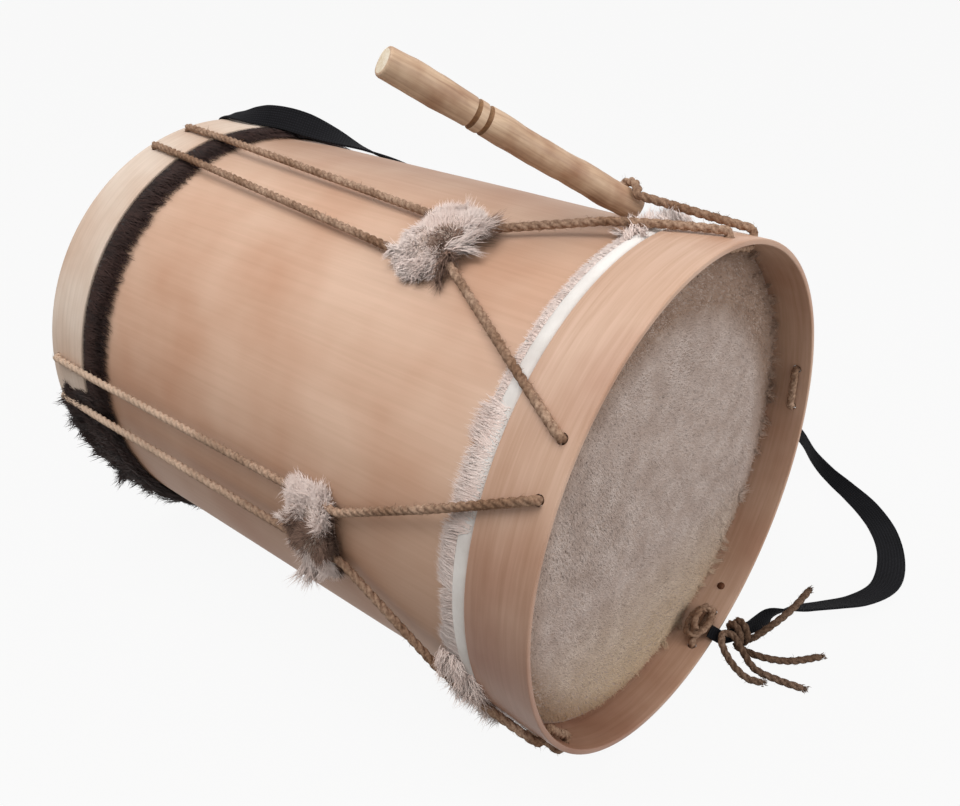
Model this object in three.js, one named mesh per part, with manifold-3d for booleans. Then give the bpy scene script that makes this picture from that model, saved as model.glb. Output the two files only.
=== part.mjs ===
// Bombo leguero: a rope-laced drum with two hide heads, lying on its side with its beater and strap.
// Millimetres, +Z up. The drum's axis runs along Y, the front head faces -Y, and the two hoops rest on Z = 0.
import * as THREE from 'three';
import { mergeVertices } from 'three/addons/utils/BufferGeometryUtils.js';
import Module from 'manifold-3d';

const wasm = await Module();
wasm.setup();

// Drum
const drumLength = 420; // rim to rim
const hoopDiameter = 300; // outside
const hoopWall = 3.2;
const hoopWidth = 38.5;
const hoopEdge = 0.9; // worn round
const collarThickness = 1.7; // folded hide between hoop and shell
const shellWall = 6;
const shellEdge = 2.5; // bearing edge, rounded
const headRecess = 25; // rim to drumhead
const headThickness = 1.2;
const fit = 0.3; // clearance between seated pieces

// Lap of the hide over the flesh hoop
const fleshHoopHeight = 2.6;
const fleshHoopWidth = 6.9;
const lapThickness = 1.5;
const fringeReach = 18; // past the edge of the wooden hoop
const fringeThickness = 2.4;
const fringeRagged = 2.4; // how far tufts stray from that reach

// Lacing
const laceCount = 5;
const ropeDiameter = 4.8;
const ropeBend = 2.9; // tightest bend of its centre line
const holeClearance = 0.5;
const holeInset = 9; // rim to the middle of a rope hole
const pairHalfAngle = 5.5; // a stitch spans two holes
const tensionerAngle = 20; // of the first one, from straight up towards -X
const frontPairAngle = 59;
const rearPairAngle = 14;
const frontPairNudges = [-2, 0, 0, 0, 0]; // the holes are bored by eye
const rearPairNudges = [0, 3, 0, 0, 0];
const tensionerNudges = [1.5, -2, -5, 0, 0]; // tied by eye, and the floor pushes the lowest one aside

// Sheepskin tensioners
const tensionerDepth = 140; // front rim to the middle of a tensioner
const tensionerSlacks = [0, 10, 0, 0, 0]; // how much further back each one was left
const tensionerLength = 36;
const tensionerWidth = 58;
const tensionerWall = 2;
const tensionerTaper = 0.1; // narrowing towards the two ends
const strandShare = 0.28; // middle of the sleeve to each rope, as a share of its width

// Beater, tucked under the fifth tensioner's front leg
const beaterDiameter = 16;
const beaterLength = 161;
const beaterTailAngle = -8.9;
const beaterTailDepth = 66.5;
const beaterRise = 31.5; // degrees above level
const beaterHeading = 27.9; // degrees from -X towards +Y
const beaterCrossing = 10; // tail end to the rope that holds it
const grooveFromTip = 54;
const grooveWidth = 3;
const grooveDepth = 0.8;
const grooveSpacing = 7;

// Carrying strap
const strapWidth = 20;
const strapThickness = 2;
const tieTurns = 2;

// Facets round the drum: one of them lies flat on the ground.
const facets = 48;
const ropeSides = 6;

const rad = THREE.MathUtils.degToRad;
const hoopRadius = hoopDiameter / 2;
const hoopInner = hoopRadius - hoopWall;
const shellRadius = hoopInner - 2 * fit - collarThickness;
const collarInner = shellRadius + fit;
const ropeRadius = ropeDiameter / 2;
const beaterRadius = beaterDiameter / 2;
const halfFacet = Math.PI / facets;
const axisHeight = hoopRadius * Math.cos(halfFacet);
const pitchAngle = 360 / laceCount;
const placed = (angle, nudges, k) => angle + k * pitchAngle + (nudges[(k + laceCount) % laceCount] ?? 0);
const depthOf = (k) => tensionerDepth + (tensionerSlacks[k] ?? 0);

const finish = (color, roughness = 0.7) => new THREE.MeshStandardMaterial({ color, roughness, metalness: 0 });
const shellWood = finish(0xcdaa90, 0.6);
const hoopWood = finish(0xb98a66, 0.55);
const rearHoopWood = finish(0xe0cdb4, 0.6);
const ringWood = finish(0xa9855f);
const beaterWood = finish(0xb07f54, 0.5);
const clippedHide = finish(0xd9d2c8, 0.95);
const darkHide = finish(0x3a2c25, 0.95);
const sheepskin = finish(0xe6ded4, 0.95);
const jute = finish(0x8b6746, 0.95);
const webbing = finish(0x15171b, 0.8);

const bombo = new THREE.Group();

function addPiece(name, geometry, material, parent = bombo) {
  const mesh = new THREE.Mesh(geometry, material);
  mesh.name = name;
  parent.add(mesh);
  return mesh;
}

// A place on the drum: angle from straight up towards -X, distance from the axis and from the front rim.
function onDrum(angle, radius, depth) {
  const turn = rad(angle);
  const x = -radius * Math.sin(turn);
  const z = axisHeight + radius * Math.cos(turn);
  return new THREE.Vector3(x, depth - drumLength / 2, z);
}

function meshFrom(points, triangles) {
  const geometry = new THREE.BufferGeometry();
  const places = points.flatMap((p) => [p.x, p.y, p.z]);
  geometry.setAttribute('position', new THREE.Float32BufferAttribute(places, 3));
  geometry.setIndex(triangles);
  return facingOut(geometry);
}

// Turns every face over when the enclosed volume comes out negative.
function facingOut(geometry) {
  const p = geometry.attributes.position;
  const index = geometry.index.array;
  const corner = (i) => new THREE.Vector3().fromBufferAttribute(p, index[i]);
  let volume = 0;
  for (let i = 0; i < index.length; i += 3) {
    volume += corner(i).dot(corner(i + 1).cross(corner(i + 2)));
  }
  if (volume < 0) {
    const flipped = [];
    for (let i = 0; i < index.length; i += 3) {
      flipped.push(index[i], index[i + 2], index[i + 1]);
    }
    geometry.setIndex(flipped);
  }
  geometry.computeVertexNormals();
  return geometry;
}

// A body of revolution about the drum's axis. profileAt(angle) lists [radius, depth] round the section;
// a section that begins and ends at radius 0 closes on the axis.
function revolve(profileAt) {
  const points = [];
  const triangles = [];
  const rows = profileAt(0).length;
  const onAxis = profileAt(0)[0][0] === 0;
  for (let i = 0; i < facets; i += 1) {
    const angle = (360 * (i + 0.5)) / facets;
    points.push(...profileAt(angle).map(([radius, depth]) => onDrum(angle, radius, depth)));
  }
  const at = (i, row) => {
    const pole = onAxis && (row === 0 || row === rows - 1);
    return (pole ? 0 : i % facets) * rows + (row % rows);
  };
  for (let i = 0; i < facets; i += 1) {
    for (let row = 0; row < (onAxis ? rows - 1 : rows); row += 1) {
      const quad = [at(i, row), at(i + 1, row), at(i + 1, row + 1), at(i, row + 1)];
      if (quad[0] !== quad[1]) {
        triangles.push(quad[0], quad[1], quad[2]);
      }
      if (quad[2] !== quad[3]) {
        triangles.push(quad[0], quad[2], quad[3]);
      }
    }
  }
  return meshFrom(points, triangles);
}

// Skins a closed section carried along stations, each with a centre and two directions across.
function skin(section, stations) {
  const points = [];
  const triangles = [];
  const count = section.length;
  for (const station of stations) {
    for (const [a, b] of section) {
      const point = station.centre.clone();
      point.addScaledVector(station.across, a * (station.wide ?? 1));
      point.addScaledVector(station.up, b * (station.thick ?? 1));
      points.push(point);
    }
  }
  for (let i = 0; i < stations.length - 1; i += 1) {
    for (let k = 0; k < count; k += 1) {
      const a = i * count + k;
      const b = i * count + ((k + 1) % count);
      triangles.push(a, b, b + count, a, b + count, a + count);
    }
  }
  const last = (stations.length - 1) * count;
  for (let k = 1; k < count - 1; k += 1) {
    triangles.push(0, k + 1, k, last, last + k, last + k + 1);
  }
  return meshFrom(points, triangles);
}

function polygon(sides, radius) {
  return Array.from({ length: sides }, (_, k) => {
    const turn = (2 * Math.PI * (k + 0.5)) / sides;
    return [radius * Math.cos(turn), radius * Math.sin(turn)];
  });
}

// A round tube through points, with its section carried along without twisting.
function tube(points, radius) {
  const tangents = points.map((_, i) => {
    const ahead = points[Math.min(i + 1, points.length - 1)];
    const behind = points[Math.max(i - 1, 0)];
    return ahead.clone().sub(behind).normalize();
  });
  const helper = Math.abs(tangents[0].z) < 0.9 ? new THREE.Vector3(0, 0, 1) : new THREE.Vector3(1, 0, 0);
  let across = helper.cross(tangents[0]).normalize();
  const stations = points.map((centre, i) => {
    across = across.clone().addScaledVector(tangents[i], -across.dot(tangents[i])).normalize();
    return { centre, across, up: tangents[i].clone().cross(across) };
  });
  return skin(polygon(ropeSides, radius), stations);
}

// Rounds each corner of a route by a short bend.
function rounded(corners, bend, steps = 3) {
  const route = [corners[0]];
  for (let i = 1; i < corners.length - 1; i += 1) {
    const from = corners[i - 1].clone().sub(corners[i]);
    const to = corners[i + 1].clone().sub(corners[i]);
    if (from.angleTo(to) > 2.6) {
      route.push(corners[i]);
      continue;
    }
    const reach = Math.min(bend, 0.48 * from.length(), 0.48 * to.length());
    const start = corners[i].clone().addScaledVector(from.normalize(), reach);
    const end = corners[i].clone().addScaledVector(to.normalize(), reach);
    route.push(...new THREE.QuadraticBezierCurve3(start, corners[i], end).getPoints(steps));
  }
  route.push(corners.at(-1));
  return route;
}

function asSolid(geometry) {
  const bare = geometry.clone();
  bare.deleteAttribute('normal');
  bare.deleteAttribute('uv');
  const merged = mergeVertices(bare, 1e-4);
  const vertProperties = new Float32Array(merged.attributes.position.array);
  const triVerts = new Uint32Array(merged.index.array);
  return new wasm.Manifold(new wasm.Mesh({ numProp: 3, vertProperties, triVerts }));
}

function asGeometry(solid) {
  const mesh = solid.getMesh();
  const geometry = new THREE.BufferGeometry();
  geometry.setAttribute('position', new THREE.Float32BufferAttribute(mesh.vertProperties, 3));
  geometry.setIndex(Array.from(mesh.triVerts));
  geometry.computeVertexNormals();
  return geometry;
}

// Both ends are the same, mirrored: depth is measured from the end's own rim.
const fromFront = (depth) => depth;
const fromRear = (depth) => drumLength - depth;

// Shell, hollowed from one log, with rounded bearing edges.
const shellStart = headRecess + headThickness + fit;
const shellEnd = drumLength - shellStart;
const shellInner = shellRadius - shellWall;
const shellProfile = [
  [shellInner, shellStart],
  [shellRadius - shellEdge, shellStart],
  [shellRadius - 0.3 * shellEdge, shellStart + 0.3 * shellEdge],
  [shellRadius, shellStart + shellEdge],
  [shellRadius, shellEnd - shellEdge],
  [shellRadius - 0.3 * shellEdge, shellEnd - 0.3 * shellEdge],
  [shellRadius - shellEdge, shellEnd],
  [shellInner, shellEnd],
];
addPiece('shell', revolve(() => shellProfile), shellWood);

// Bent wooden hoops, each bored with a ring of rope holes.
function hoop(fromRim, pairAngle, nudges) {
  const section = [
    [hoopInner, 0],
    [hoopRadius - hoopEdge, 0],
    [hoopRadius, hoopEdge],
    [hoopRadius, hoopWidth - hoopEdge],
    [hoopRadius - hoopEdge, hoopWidth],
    [hoopInner, hoopWidth],
  ];
  let solid = asSolid(revolve(() => section.map(([radius, depth]) => [radius, fromRim(depth)])));
  for (let pair = 0; pair < laceCount; pair += 1) {
    for (const side of [-1, 1]) {
      const angle = placed(pairAngle, nudges, pair) + side * pairHalfAngle;
      const bore = ropeRadius + holeClearance;
      const hole = new THREE.CylinderGeometry(bore, bore, 6 * hoopWall, 12);
      const centre = onDrum(angle, hoopRadius - hoopWall / 2, fromRim(holeInset));
      hole.rotateX(Math.PI / 2);
      hole.rotateY(-rad(angle));
      hole.translate(centre.x, centre.y, centre.z);
      solid = solid.subtract(asSolid(hole));
    }
  }
  return asGeometry(solid);
}
addPiece('front_hoop', hoop(fromFront, frontPairAngle, frontPairNudges), hoopWood);
addPiece('rear_hoop', hoop(fromRear, rearPairAngle, rearPairNudges), rearHoopWood);

// Flesh hoops: flat wooden rings that the hides are lapped over, pressed inward by the wooden hoops.
const lapStart = hoopWidth + fit;
const ringStart = lapStart + lapThickness + fit;
const ringEnd = ringStart + fleshHoopWidth;
const ringOuter = collarInner + fleshHoopHeight;
function fleshHoop(fromRim) {
  const section = [
    [collarInner, ringStart],
    [ringOuter, ringStart],
    [ringOuter, ringEnd],
    [collarInner, ringEnd],
  ];
  return revolve(() => section.map(([radius, depth]) => [radius, fromRim(depth)]));
}
addPiece('front_flesh_hoop', fleshHoop(fromFront), ringWood);
addPiece('rear_flesh_hoop', fleshHoop(fromRear), ringWood);

// Heads: one hide each, over the shell, down inside the hoop, over the flesh hoop and out as a fringe.
const collarOuter = collarInner + collarThickness;
const lapInner = ringOuter + fit;
const lapOuter = lapInner + lapThickness;
const fringeEnd = hoopWidth + fringeReach;
const headInside = headRecess + headThickness;
function tufts(angle, phase) {
  const turn = rad(angle);
  const waves = [5, 9, 14].map((count, i) => Math.sin(count * turn + (i + 1) * phase));
  return (fringeRagged * (waves[0] + waves[1] + waves[2])) / 3;
}
function head(fromRim, phase) {
  return revolve((angle) => {
    const edge = fringeEnd + tufts(angle, phase);
    const section = [
      [0, headRecess],
      [collarOuter - 2 * shellEdge, headRecess],
      [collarOuter - 0.3 * shellEdge, headRecess + 0.3 * shellEdge],
      [collarOuter, headRecess + shellEdge],
      [collarOuter, lapStart],
      [lapInner + 0.4 * lapThickness, lapStart],
      [lapOuter, lapStart + 0.3 * fleshHoopWidth],
      [lapOuter, ringEnd - 0.2 * fleshHoopWidth],
      [collarInner + fringeThickness, ringEnd + 2 * lapThickness],
      [collarInner + 0.7 * fringeThickness, edge],
      [collarInner, edge],
      [collarInner, ringEnd + fit],
      [lapInner, ringEnd + fit],
      [lapInner, ringStart - fit],
      [collarInner, ringStart - fit],
      [collarInner, headInside + shellEdge],
      [collarInner - 0.3 * shellEdge, headInside + 0.3 * shellEdge],
      [collarInner - shellEdge, headInside],
      [0, headInside],
    ];
    return section.map(([radius, depth]) => [radius, fromRim(depth)]);
  });
}
addPiece('front_head', head(fromFront, 0.8), clippedHide);
addPiece('rear_head', head(fromRear, 2.3), darkHide);

// Beater: a turned dowel with two grooves, its tail wedged between the shell and a rope.
const rise = rad(beaterRise);
const heading = rad(beaterHeading);
const beaterAxis = new THREE.Vector3(
  -Math.cos(rise) * Math.cos(heading),
  Math.cos(rise) * Math.sin(heading),
  Math.sin(rise),
);
const outward = new THREE.Vector3(-Math.sin(rad(beaterTailAngle)), 0, Math.cos(rad(beaterTailAngle)));
const beaterTilt = Math.asin(beaterAxis.dot(outward));
const tailRadius = shellRadius + 2 * fit + beaterRadius * Math.cos(beaterTilt);
const beaterTail = onDrum(beaterTailAngle, tailRadius, beaterTailDepth);
function beater() {
  const groove = (middle) => [
    [beaterRadius, middle - grooveWidth / 2],
    [beaterRadius - grooveDepth, middle],
    [beaterRadius, middle + grooveWidth / 2],
  ];
  const profile = [
    [0, 0],
    [beaterRadius - 1.5, 0],
    [beaterRadius, 1.5],
    ...groove(beaterLength - grooveFromTip - grooveSpacing / 2),
    ...groove(beaterLength - grooveFromTip + grooveSpacing / 2),
    [beaterRadius, beaterLength - 2],
    [beaterRadius - 2, beaterLength],
    [0, beaterLength],
  ];
  const lathe = new THREE.LatheGeometry(profile.map(([r, y]) => new THREE.Vector2(r, y)), 24);
  lathe.deleteAttribute('normal');
  lathe.deleteAttribute('uv');
  return facingOut(mergeVertices(lathe, 1e-4));
}
const beaterPlace = new THREE.Group();
beaterPlace.position.copy(beaterTail);
beaterPlace.quaternion.setFromUnitVectors(new THREE.Vector3(0, 1, 0), beaterAxis);
bombo.add(beaterPlace);
addPiece('beater', beater(), beaterWood, beaterPlace);

// Lacing: one rope, in five lengths that each run from a front stitch through a tensioner to a rear stitch
// and back to the next front stitch. Outside the drum it lies on the hoops, the fringes and the shell.
const outerRun = hoopRadius + fit + ropeBend;
const innerRun = hoopInner * Math.cos(halfFacet) - fit - ropeBend;
const shellRun = shellRadius + fit + ropeRadius;
const sleeveRun = shellRadius + 2 * fit + tensionerWall + ropeRadius;
const sleeveHalf = tensionerLength / 2;
const strandReach = strandShare * tensionerWidth;
const strandHalfAngle = THREE.MathUtils.radToDeg(strandReach / sleeveRun);
const clearOfFringe = fringeEnd + fringeRagged + ropeDiameter;

// Breaks a run of [angle, radius, depth] into short steps that follow the round of the drum.
function aroundDrum(marks) {
  const route = [];
  for (let i = 0; i < marks.length - 1; i += 1) {
    const [from, to] = [marks[i], marks[i + 1]];
    const steps = Math.max(1, Math.ceil(Math.abs(to[0] - from[0]) / 4));
    for (let k = 0; k < steps; k += 1) {
      const mark = from.map((value, axis) => value + ((to[axis] - value) * k) / steps);
      route.push(onDrum(...mark));
    }
  }
  route.push(onDrum(...marks.at(-1)));
  return route;
}

// A taut stretch between two points, bent outward only where it would cut into the shell.
function taut(from, to) {
  const steps = 7;
  return Array.from({ length: steps + 1 }, (_, k) => {
    const point = from.clone().lerp(to, k / steps);
    const radius = Math.hypot(point.x, point.z - axisHeight);
    const push = Math.max(1, shellRun / radius);
    return new THREE.Vector3(point.x * push, point.y, axisHeight + (point.z - axisHeight) * push);
  });
}

// One leg, from its hole in a hoop, out over the fringe and down to a tensioner.
function leg(fromRim, holeAngle, strandAngle, sleeveDepth, detour = null) {
  const toSleeve = fromRim === fromFront ? sleeveDepth : drumLength - sleeveDepth;
  const entry = toSleeve - sleeveHalf - ropeDiameter;
  const underneath = (holeAngle - 180) * (strandAngle - 180) < 0;
  const share = underneath ? 0 : (clearOfFringe - holeInset) / (entry - holeInset);
  const fringeAngle = holeAngle + (strandAngle - holeAngle) * share;
  const hole = [holeAngle, outerRun, fromRim(holeInset)];
  const sleeve = onDrum(strandAngle, sleeveRun, fromRim(entry));
  if (detour) {
    return [onDrum(...hole), ...detour, ...taut(detour.at(-1), sleeve).slice(1)];
  }
  const overHoop = aroundDrum([hole, [fringeAngle, outerRun, fromRim(clearOfFringe)]]);
  return [...overHoop, ...taut(overHoop.at(-1), sleeve).slice(1)];
}

// The leg that holds the beater rides over it on a short arc, front to back.
function overBeater() {
  const middle = beaterTail.clone().addScaledVector(beaterAxis, beaterCrossing);
  const over = outward.clone().addScaledVector(beaterAxis, -outward.dot(beaterAxis)).normalize();
  const along = beaterAxis.clone().cross(over).normalize();
  const ride = beaterRadius + 2 * fit + ropeRadius;
  const arc = [-60, -36, -12, 12, 36, 60].map((turn) => {
    const point = middle.clone().addScaledVector(over, ride * Math.cos(rad(turn)));
    return point.addScaledVector(along, ride * Math.sin(rad(turn)));
  });
  return arc[0].y < arc.at(-1).y ? arc : arc.reverse();
}

function lacing(k) {
  const sleeve = placed(tensionerAngle, tensionerNudges, k);
  const before = placed(frontPairAngle, frontPairNudges, k - 1);
  const after = placed(frontPairAngle, frontPairNudges, k);
  const rear = placed(rearPairAngle, rearPairNudges, k);
  const joinGap = THREE.MathUtils.radToDeg(fit / 2 / innerRun);
  const halfStitch = (angle, hole) => aroundDrum([
    [angle + Math.sign(hole - angle) * joinGap, innerRun, holeInset],
    [hole, innerRun, holeInset],
  ]);
  const firstHole = before + pairHalfAngle;
  const lastHole = after - pairHalfAngle;
  const rearStitch = aroundDrum([
    [rear - pairHalfAngle, innerRun, fromRear(holeInset)],
    [rear + pairHalfAngle, innerRun, fromRear(holeInset)],
  ]);
  const detour = k === laceCount - 1 ? overBeater() : null;
  const corners = [
    ...halfStitch(before, firstHole),
    ...leg(fromFront, firstHole, sleeve - strandHalfAngle, depthOf(k)),
    ...leg(fromRear, rear - pairHalfAngle, sleeve - strandHalfAngle, depthOf(k)).reverse(),
    ...rearStitch,
    ...leg(fromRear, rear + pairHalfAngle, sleeve + strandHalfAngle, depthOf(k)),
    ...leg(fromFront, lastHole, sleeve + strandHalfAngle, depthOf(k), detour).reverse(),
    ...halfStitch(after, lastHole).reverse(),
  ];
  return tube(rounded(corners, ropeBend), ropeRadius);
}
for (let k = 0; k < laceCount; k += 1) {
  addPiece(`lacing_${k + 1}`, lacing(k), jute);
}

// Tensioners: sheepskin sleeves, each a flat loop that holds a pair of rope legs, fullest in the middle.
function tensioner() {
  const slotMiddle = sleeveRun - shellRadius;
  const slotHeight = ropeRadius + fit;
  const slotHalf = strandReach + slotHeight;
  const crown = slotMiddle + slotHeight + tensionerWall;
  const half = tensionerWidth / 2;
  const drop = (u) => Math.sqrt(shellRadius ** 2 - u ** 2) - shellRadius;
  const laid = (u, height) => new THREE.Vector2(u, height + drop(u));
  const outline = [];
  for (const share of [-1, -0.7, -0.35, 0, 0.35, 0.7, 1]) {
    outline.push(laid(share * half, fit));
  }
  for (const share of [0.97, 0.85, 0.68, 0.4, 0, -0.4, -0.68, -0.85, -0.97]) {
    outline.push(laid(share * half, tensionerWall + (crown - tensionerWall) * (1 - share ** 6)));
  }
  const section = new THREE.Shape(outline);
  const ropeAcross = sleeveRun * Math.sin(rad(strandHalfAngle));
  const ropeUp = sleeveRun * Math.cos(rad(strandHalfAngle)) - shellRadius;
  const slot = [];
  for (const side of [1, -1]) {
    for (const turn of [-90, -60, -30, 0, 30, 60, 90]) {
      const u = ropeAcross + slotHeight * Math.cos(rad(turn));
      slot.push(new THREE.Vector2(side * u, ropeUp + side * slotHeight * Math.sin(rad(turn))));
    }
    for (const share of [0.5, 0, -0.5]) {
      slot.push(laid(side * share * ropeAcross, slotMiddle + side * slotHeight));
    }
  }
  section.holes.push(new THREE.Path(slot));
  const sleeve = new THREE.ExtrudeGeometry(section, {
    depth: tensionerLength,
    steps: 4,
    curveSegments: 4,
    bevelEnabled: false,
  });
  sleeve.deleteAttribute('normal');
  sleeve.deleteAttribute('uv');
  const merged = mergeVertices(sleeve, 1e-4);
  const p = merged.attributes.position;
  for (let i = 0; i < p.count; i += 1) {
    const away = p.getZ(i) / sleeveHalf - 1;
    const u = p.getX(i);
    if (Math.abs(u) > slotHalf + fit) {
      const narrowed = u * (1 - tensionerTaper * away ** 2);
      p.setY(i, p.getY(i) + drop(narrowed) - drop(u));
      p.setX(i, narrowed);
    }
  }
  merged.translate(0, 0, -sleeveHalf);
  merged.rotateX(Math.PI / 2);
  return facingOut(merged);
}
for (let k = 0; k < laceCount; k += 1) {
  const angle = placed(tensionerAngle, tensionerNudges, k);
  const mesh = addPiece(`tensioner_${k + 1}`, tensioner(), sheepskin);
  mesh.position.copy(onDrum(angle, shellRadius, depthOf(k)));
  mesh.rotation.y = -rad(angle);
}

// Strap: one length of flat webbing from the knot at the front hoop, in a loop over the ground and up behind
// the drum to the rear hoop. Each mark has its middle and the direction of its width; the ends are gathered.
const strapMarks = [
  { at: onDrum(-157.4, 142.3, 3.1), width: [0.9, 0, 0.4], wide: 0.45 },
  { at: onDrum(-157.0, 145.5, -1.4), width: [0.9, 0, 0.4], wide: 0.45 },
  { at: onDrum(-156.4, 149.5, -3.4), width: [0.9, 0, 0.4], wide: 0.42 },
  { at: [65.5, -216.5, 11.4], width: [0.3, 0.45, 0.8], wide: 0.4, thick: 1.6 },
  { at: [73, -220, 12], width: [0.25, 0.5, 0.8], wide: 0.4, thick: 1.8 },
  { at: [82, -223.5, 12.3], width: [0.2, 0.5, 0.8], wide: 0.42, thick: 1.6 },
  { at: [94, -227, 12], width: [0.15, 0.5, 0.8], wide: 0.6, thick: 1.2 },
  { at: [108, -231, 11.6], width: [0.2, 0.5, -0.8], wide: 0.8 },
  { at: [124, -241, 11], width: [0.3, 0.55, -0.75] },
  { at: [143, -254.6, 9.4], width: [0.39, 0.62, -0.68] },
  { at: [163, -267, 7.4], width: [0.36, 0.76, -0.55] },
  { at: [194, -274.4, 4.4], width: [0.1, 0.97, -0.24] },
  { at: [234, -265.4, 2], width: [-0.3, 0.95, 0] },
  { at: [264, -248, 2.4], width: [-0.6, 0.8, 0.08] },
  { at: [282, -228, 4.6], width: [-0.8, 0.55, 0.25] },
  { at: [293, -208, 7], width: [-0.8, 0.4, 0.5] },
  { at: [303, -188, 9], width: [-0.6, 0.4, 0.7] },
  { at: [319, -166, 10.6], width: [-0.35, 0.3, 0.88] },
  { at: [346, -141, 11.2], width: [-0.2, 0.15, 0.96] },
  { at: [371, -106, 11.3], width: [-0.1, 0, 1] },
  { at: [378, -62, 11.3], width: [0.05, 0, 1] },
  { at: [362, -16, 11.3], width: [0.1, 0.1, 1] },
  { at: [322, 22, 10.4], width: [0.1, 0.35, 0.92] },
  { at: [272, 46, 6.5], width: [0.15, 0.85, 0.5] },
  { at: [222, 57, 1.9], width: [0.1, 1, 0] },
  { at: [184, 61, 3], width: [0.05, 1, 0] },
  { at: [164, 63, 15], width: [0, 1, 0] },
  { at: [157, 64, 44], width: [0, 1, 0] },
  { at: [154.6, 65, 84], width: [0, 1, 0] },
  { at: onDrum(-88, 154.6, 275), width: [0, 1, 0] },
  { at: onDrum(-76, 155.2, 275.5), width: [0, 1, 0] },
  { at: onDrum(-64, 156, 276), width: [0, 1, 0] },
  { at: onDrum(-53, 156.4, 276), width: [0, 1, 0] },
  { at: onDrum(-46.5, 154.6, 277), width: [0, 1, 0] },
  { at: onDrum(-40.5, 149.8, 283), width: [0.2, 0.96, -0.15] },
  { at: onDrum(-36.5, 147.2, 294), width: [0.45, 0.85, -0.27] },
  { at: onDrum(-31, 147.1, 308), width: [0.6, 0.73, -0.32] },
  { at: onDrum(-25, 148.1, 322), width: [0.72, 0.6, -0.2] },
  { at: onDrum(-19, 151.4, 337), width: [0.8, 0.4, 0.2] },
  { at: onDrum(-13.5, 155.4, 351), width: [0.74, 0.2, 0.6], wide: 0.95 },
  { at: onDrum(-10.5, 157.6, 365), width: [0.6, 0.1, 0.79], wide: 0.85 },
  { at: onDrum(-8.6, 157.7, 379), width: [0.6, 0, 0.8], wide: 0.8 },
  { at: onDrum(-7.4, 156.4, 391), width: [0.75, 0, 0.65], wide: 0.72 },
  { at: onDrum(-6.8, 154.5, 404), width: [0.95, 0, 0.3], wide: 0.58 },
  { at: onDrum(-6.6, 153, 416), width: [1, 0, 0.1], wide: 0.45 },
  { at: onDrum(-6.6, 149, 423), width: [1, 0, 0.1], wide: 0.45 },
  { at: onDrum(-6.7, 145.4, 421.8), width: [1, 0, 0.1], wide: 0.42 },
  { at: onDrum(-6.8, 142.3, 416.9), width: [1, 0, 0.1], wide: 0.4 },
];
function strap() {
  const centres = strapMarks.map(({ at }) => (Array.isArray(at) ? new THREE.Vector3(...at) : at));
  let previous = null;
  const widths = strapMarks.map(({ width }) => {
    const direction = new THREE.Vector3(...width).normalize();
    if (previous && direction.dot(previous) < 0) {
      direction.negate();
    }
    previous = direction;
    return direction;
  });
  const path = new THREE.CatmullRomCurve3(centres, false, 'centripetal');
  const lean = new THREE.CatmullRomCurve3(widths, false, 'centripetal');
  const between = 2;
  const stations = [];
  for (let i = 0; i <= (centres.length - 1) * between; i += 1) {
    const t = i / ((centres.length - 1) * between);
    const low = Math.min(Math.floor(i / between), centres.length - 2);
    const share = i / between - low;
    const [from, to] = [strapMarks[low], strapMarks[low + 1]];
    const blend = (key) => THREE.MathUtils.lerp(from[key] ?? 1, to[key] ?? 1, share);
    const tangent = path.getTangent(t);
    const across = lean.getPoint(t);
    across.addScaledVector(tangent, -across.dot(tangent)).normalize();
    const up = tangent.clone().cross(across);
    stations.push({ centre: path.getPoint(t), across, up, wide: blend('wide'), thick: blend('thick') });
  }
  const [a, b] = [strapWidth / 2, strapThickness / 2];
  return skin([[-a, -b], [a, -b], [a, b], [-a, b]], stations);
}
addPiece('strap', strap(), webbing);

// Least gap between the turns of a rope, on points along its centre line; close points are neighbours.
function gapToItself(path) {
  const steps = 600;
  const points = path.getSpacedPoints(steps);
  const neighbours = Math.ceil((4 * ropeDiameter * steps) / path.getLength());
  let least = Infinity;
  for (let i = 0; i <= steps; i += 1) {
    for (let j = i + neighbours; j <= steps; j += 1) {
      least = Math.min(least, points[i].distanceTo(points[j]) - ropeDiameter);
    }
  }
  return least;
}

// Strap tie: a rope wound round the gathered strap, with two stiff ends.
function strapTie() {
  const middle = new THREE.Vector3(73, -220, 12);
  const axis = new THREE.Vector3(17, -7, 0.9).normalize();
  const level = new THREE.Vector3(0, 0, 1).cross(axis).normalize();
  const upright = axis.clone().cross(level);
  const coil = Math.hypot(0.2 * strapWidth, 0.9 * strapThickness) + fit + ropeRadius;
  const pitch = ropeDiameter + 3 * fit;
  const firstEnd = [[118, -246, 34], [104, -243, 27], [91, -238, 20]];
  const lastEnd = [[66, -238, 7], [78, -254, 3.6], [97, -269, 3]];
  const points = firstEnd.map((p) => new THREE.Vector3(...p));
  const steps = 12 * tieTurns;
  for (let i = 0; i <= steps; i += 1) {
    const turn = -0.9 - (2 * Math.PI * i) / 12;
    const point = middle.clone().addScaledVector(axis, pitch * (tieTurns / 2 - i / 12));
    point.addScaledVector(level, -coil * Math.cos(turn));
    points.push(point.addScaledVector(upright, coil * Math.sin(turn)));
  }
  points.push(...lastEnd.map((p) => new THREE.Vector3(...p)));
  const path = new THREE.CatmullRomCurve3(points, false, 'centripetal');
  console.log('strap tie: least gap to itself, mm', gapToItself(path).toFixed(2));
  return tube(path.getPoints(2 * points.length), ropeRadius);
}
addPiece('strap_tie', strapTie(), jute);

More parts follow.
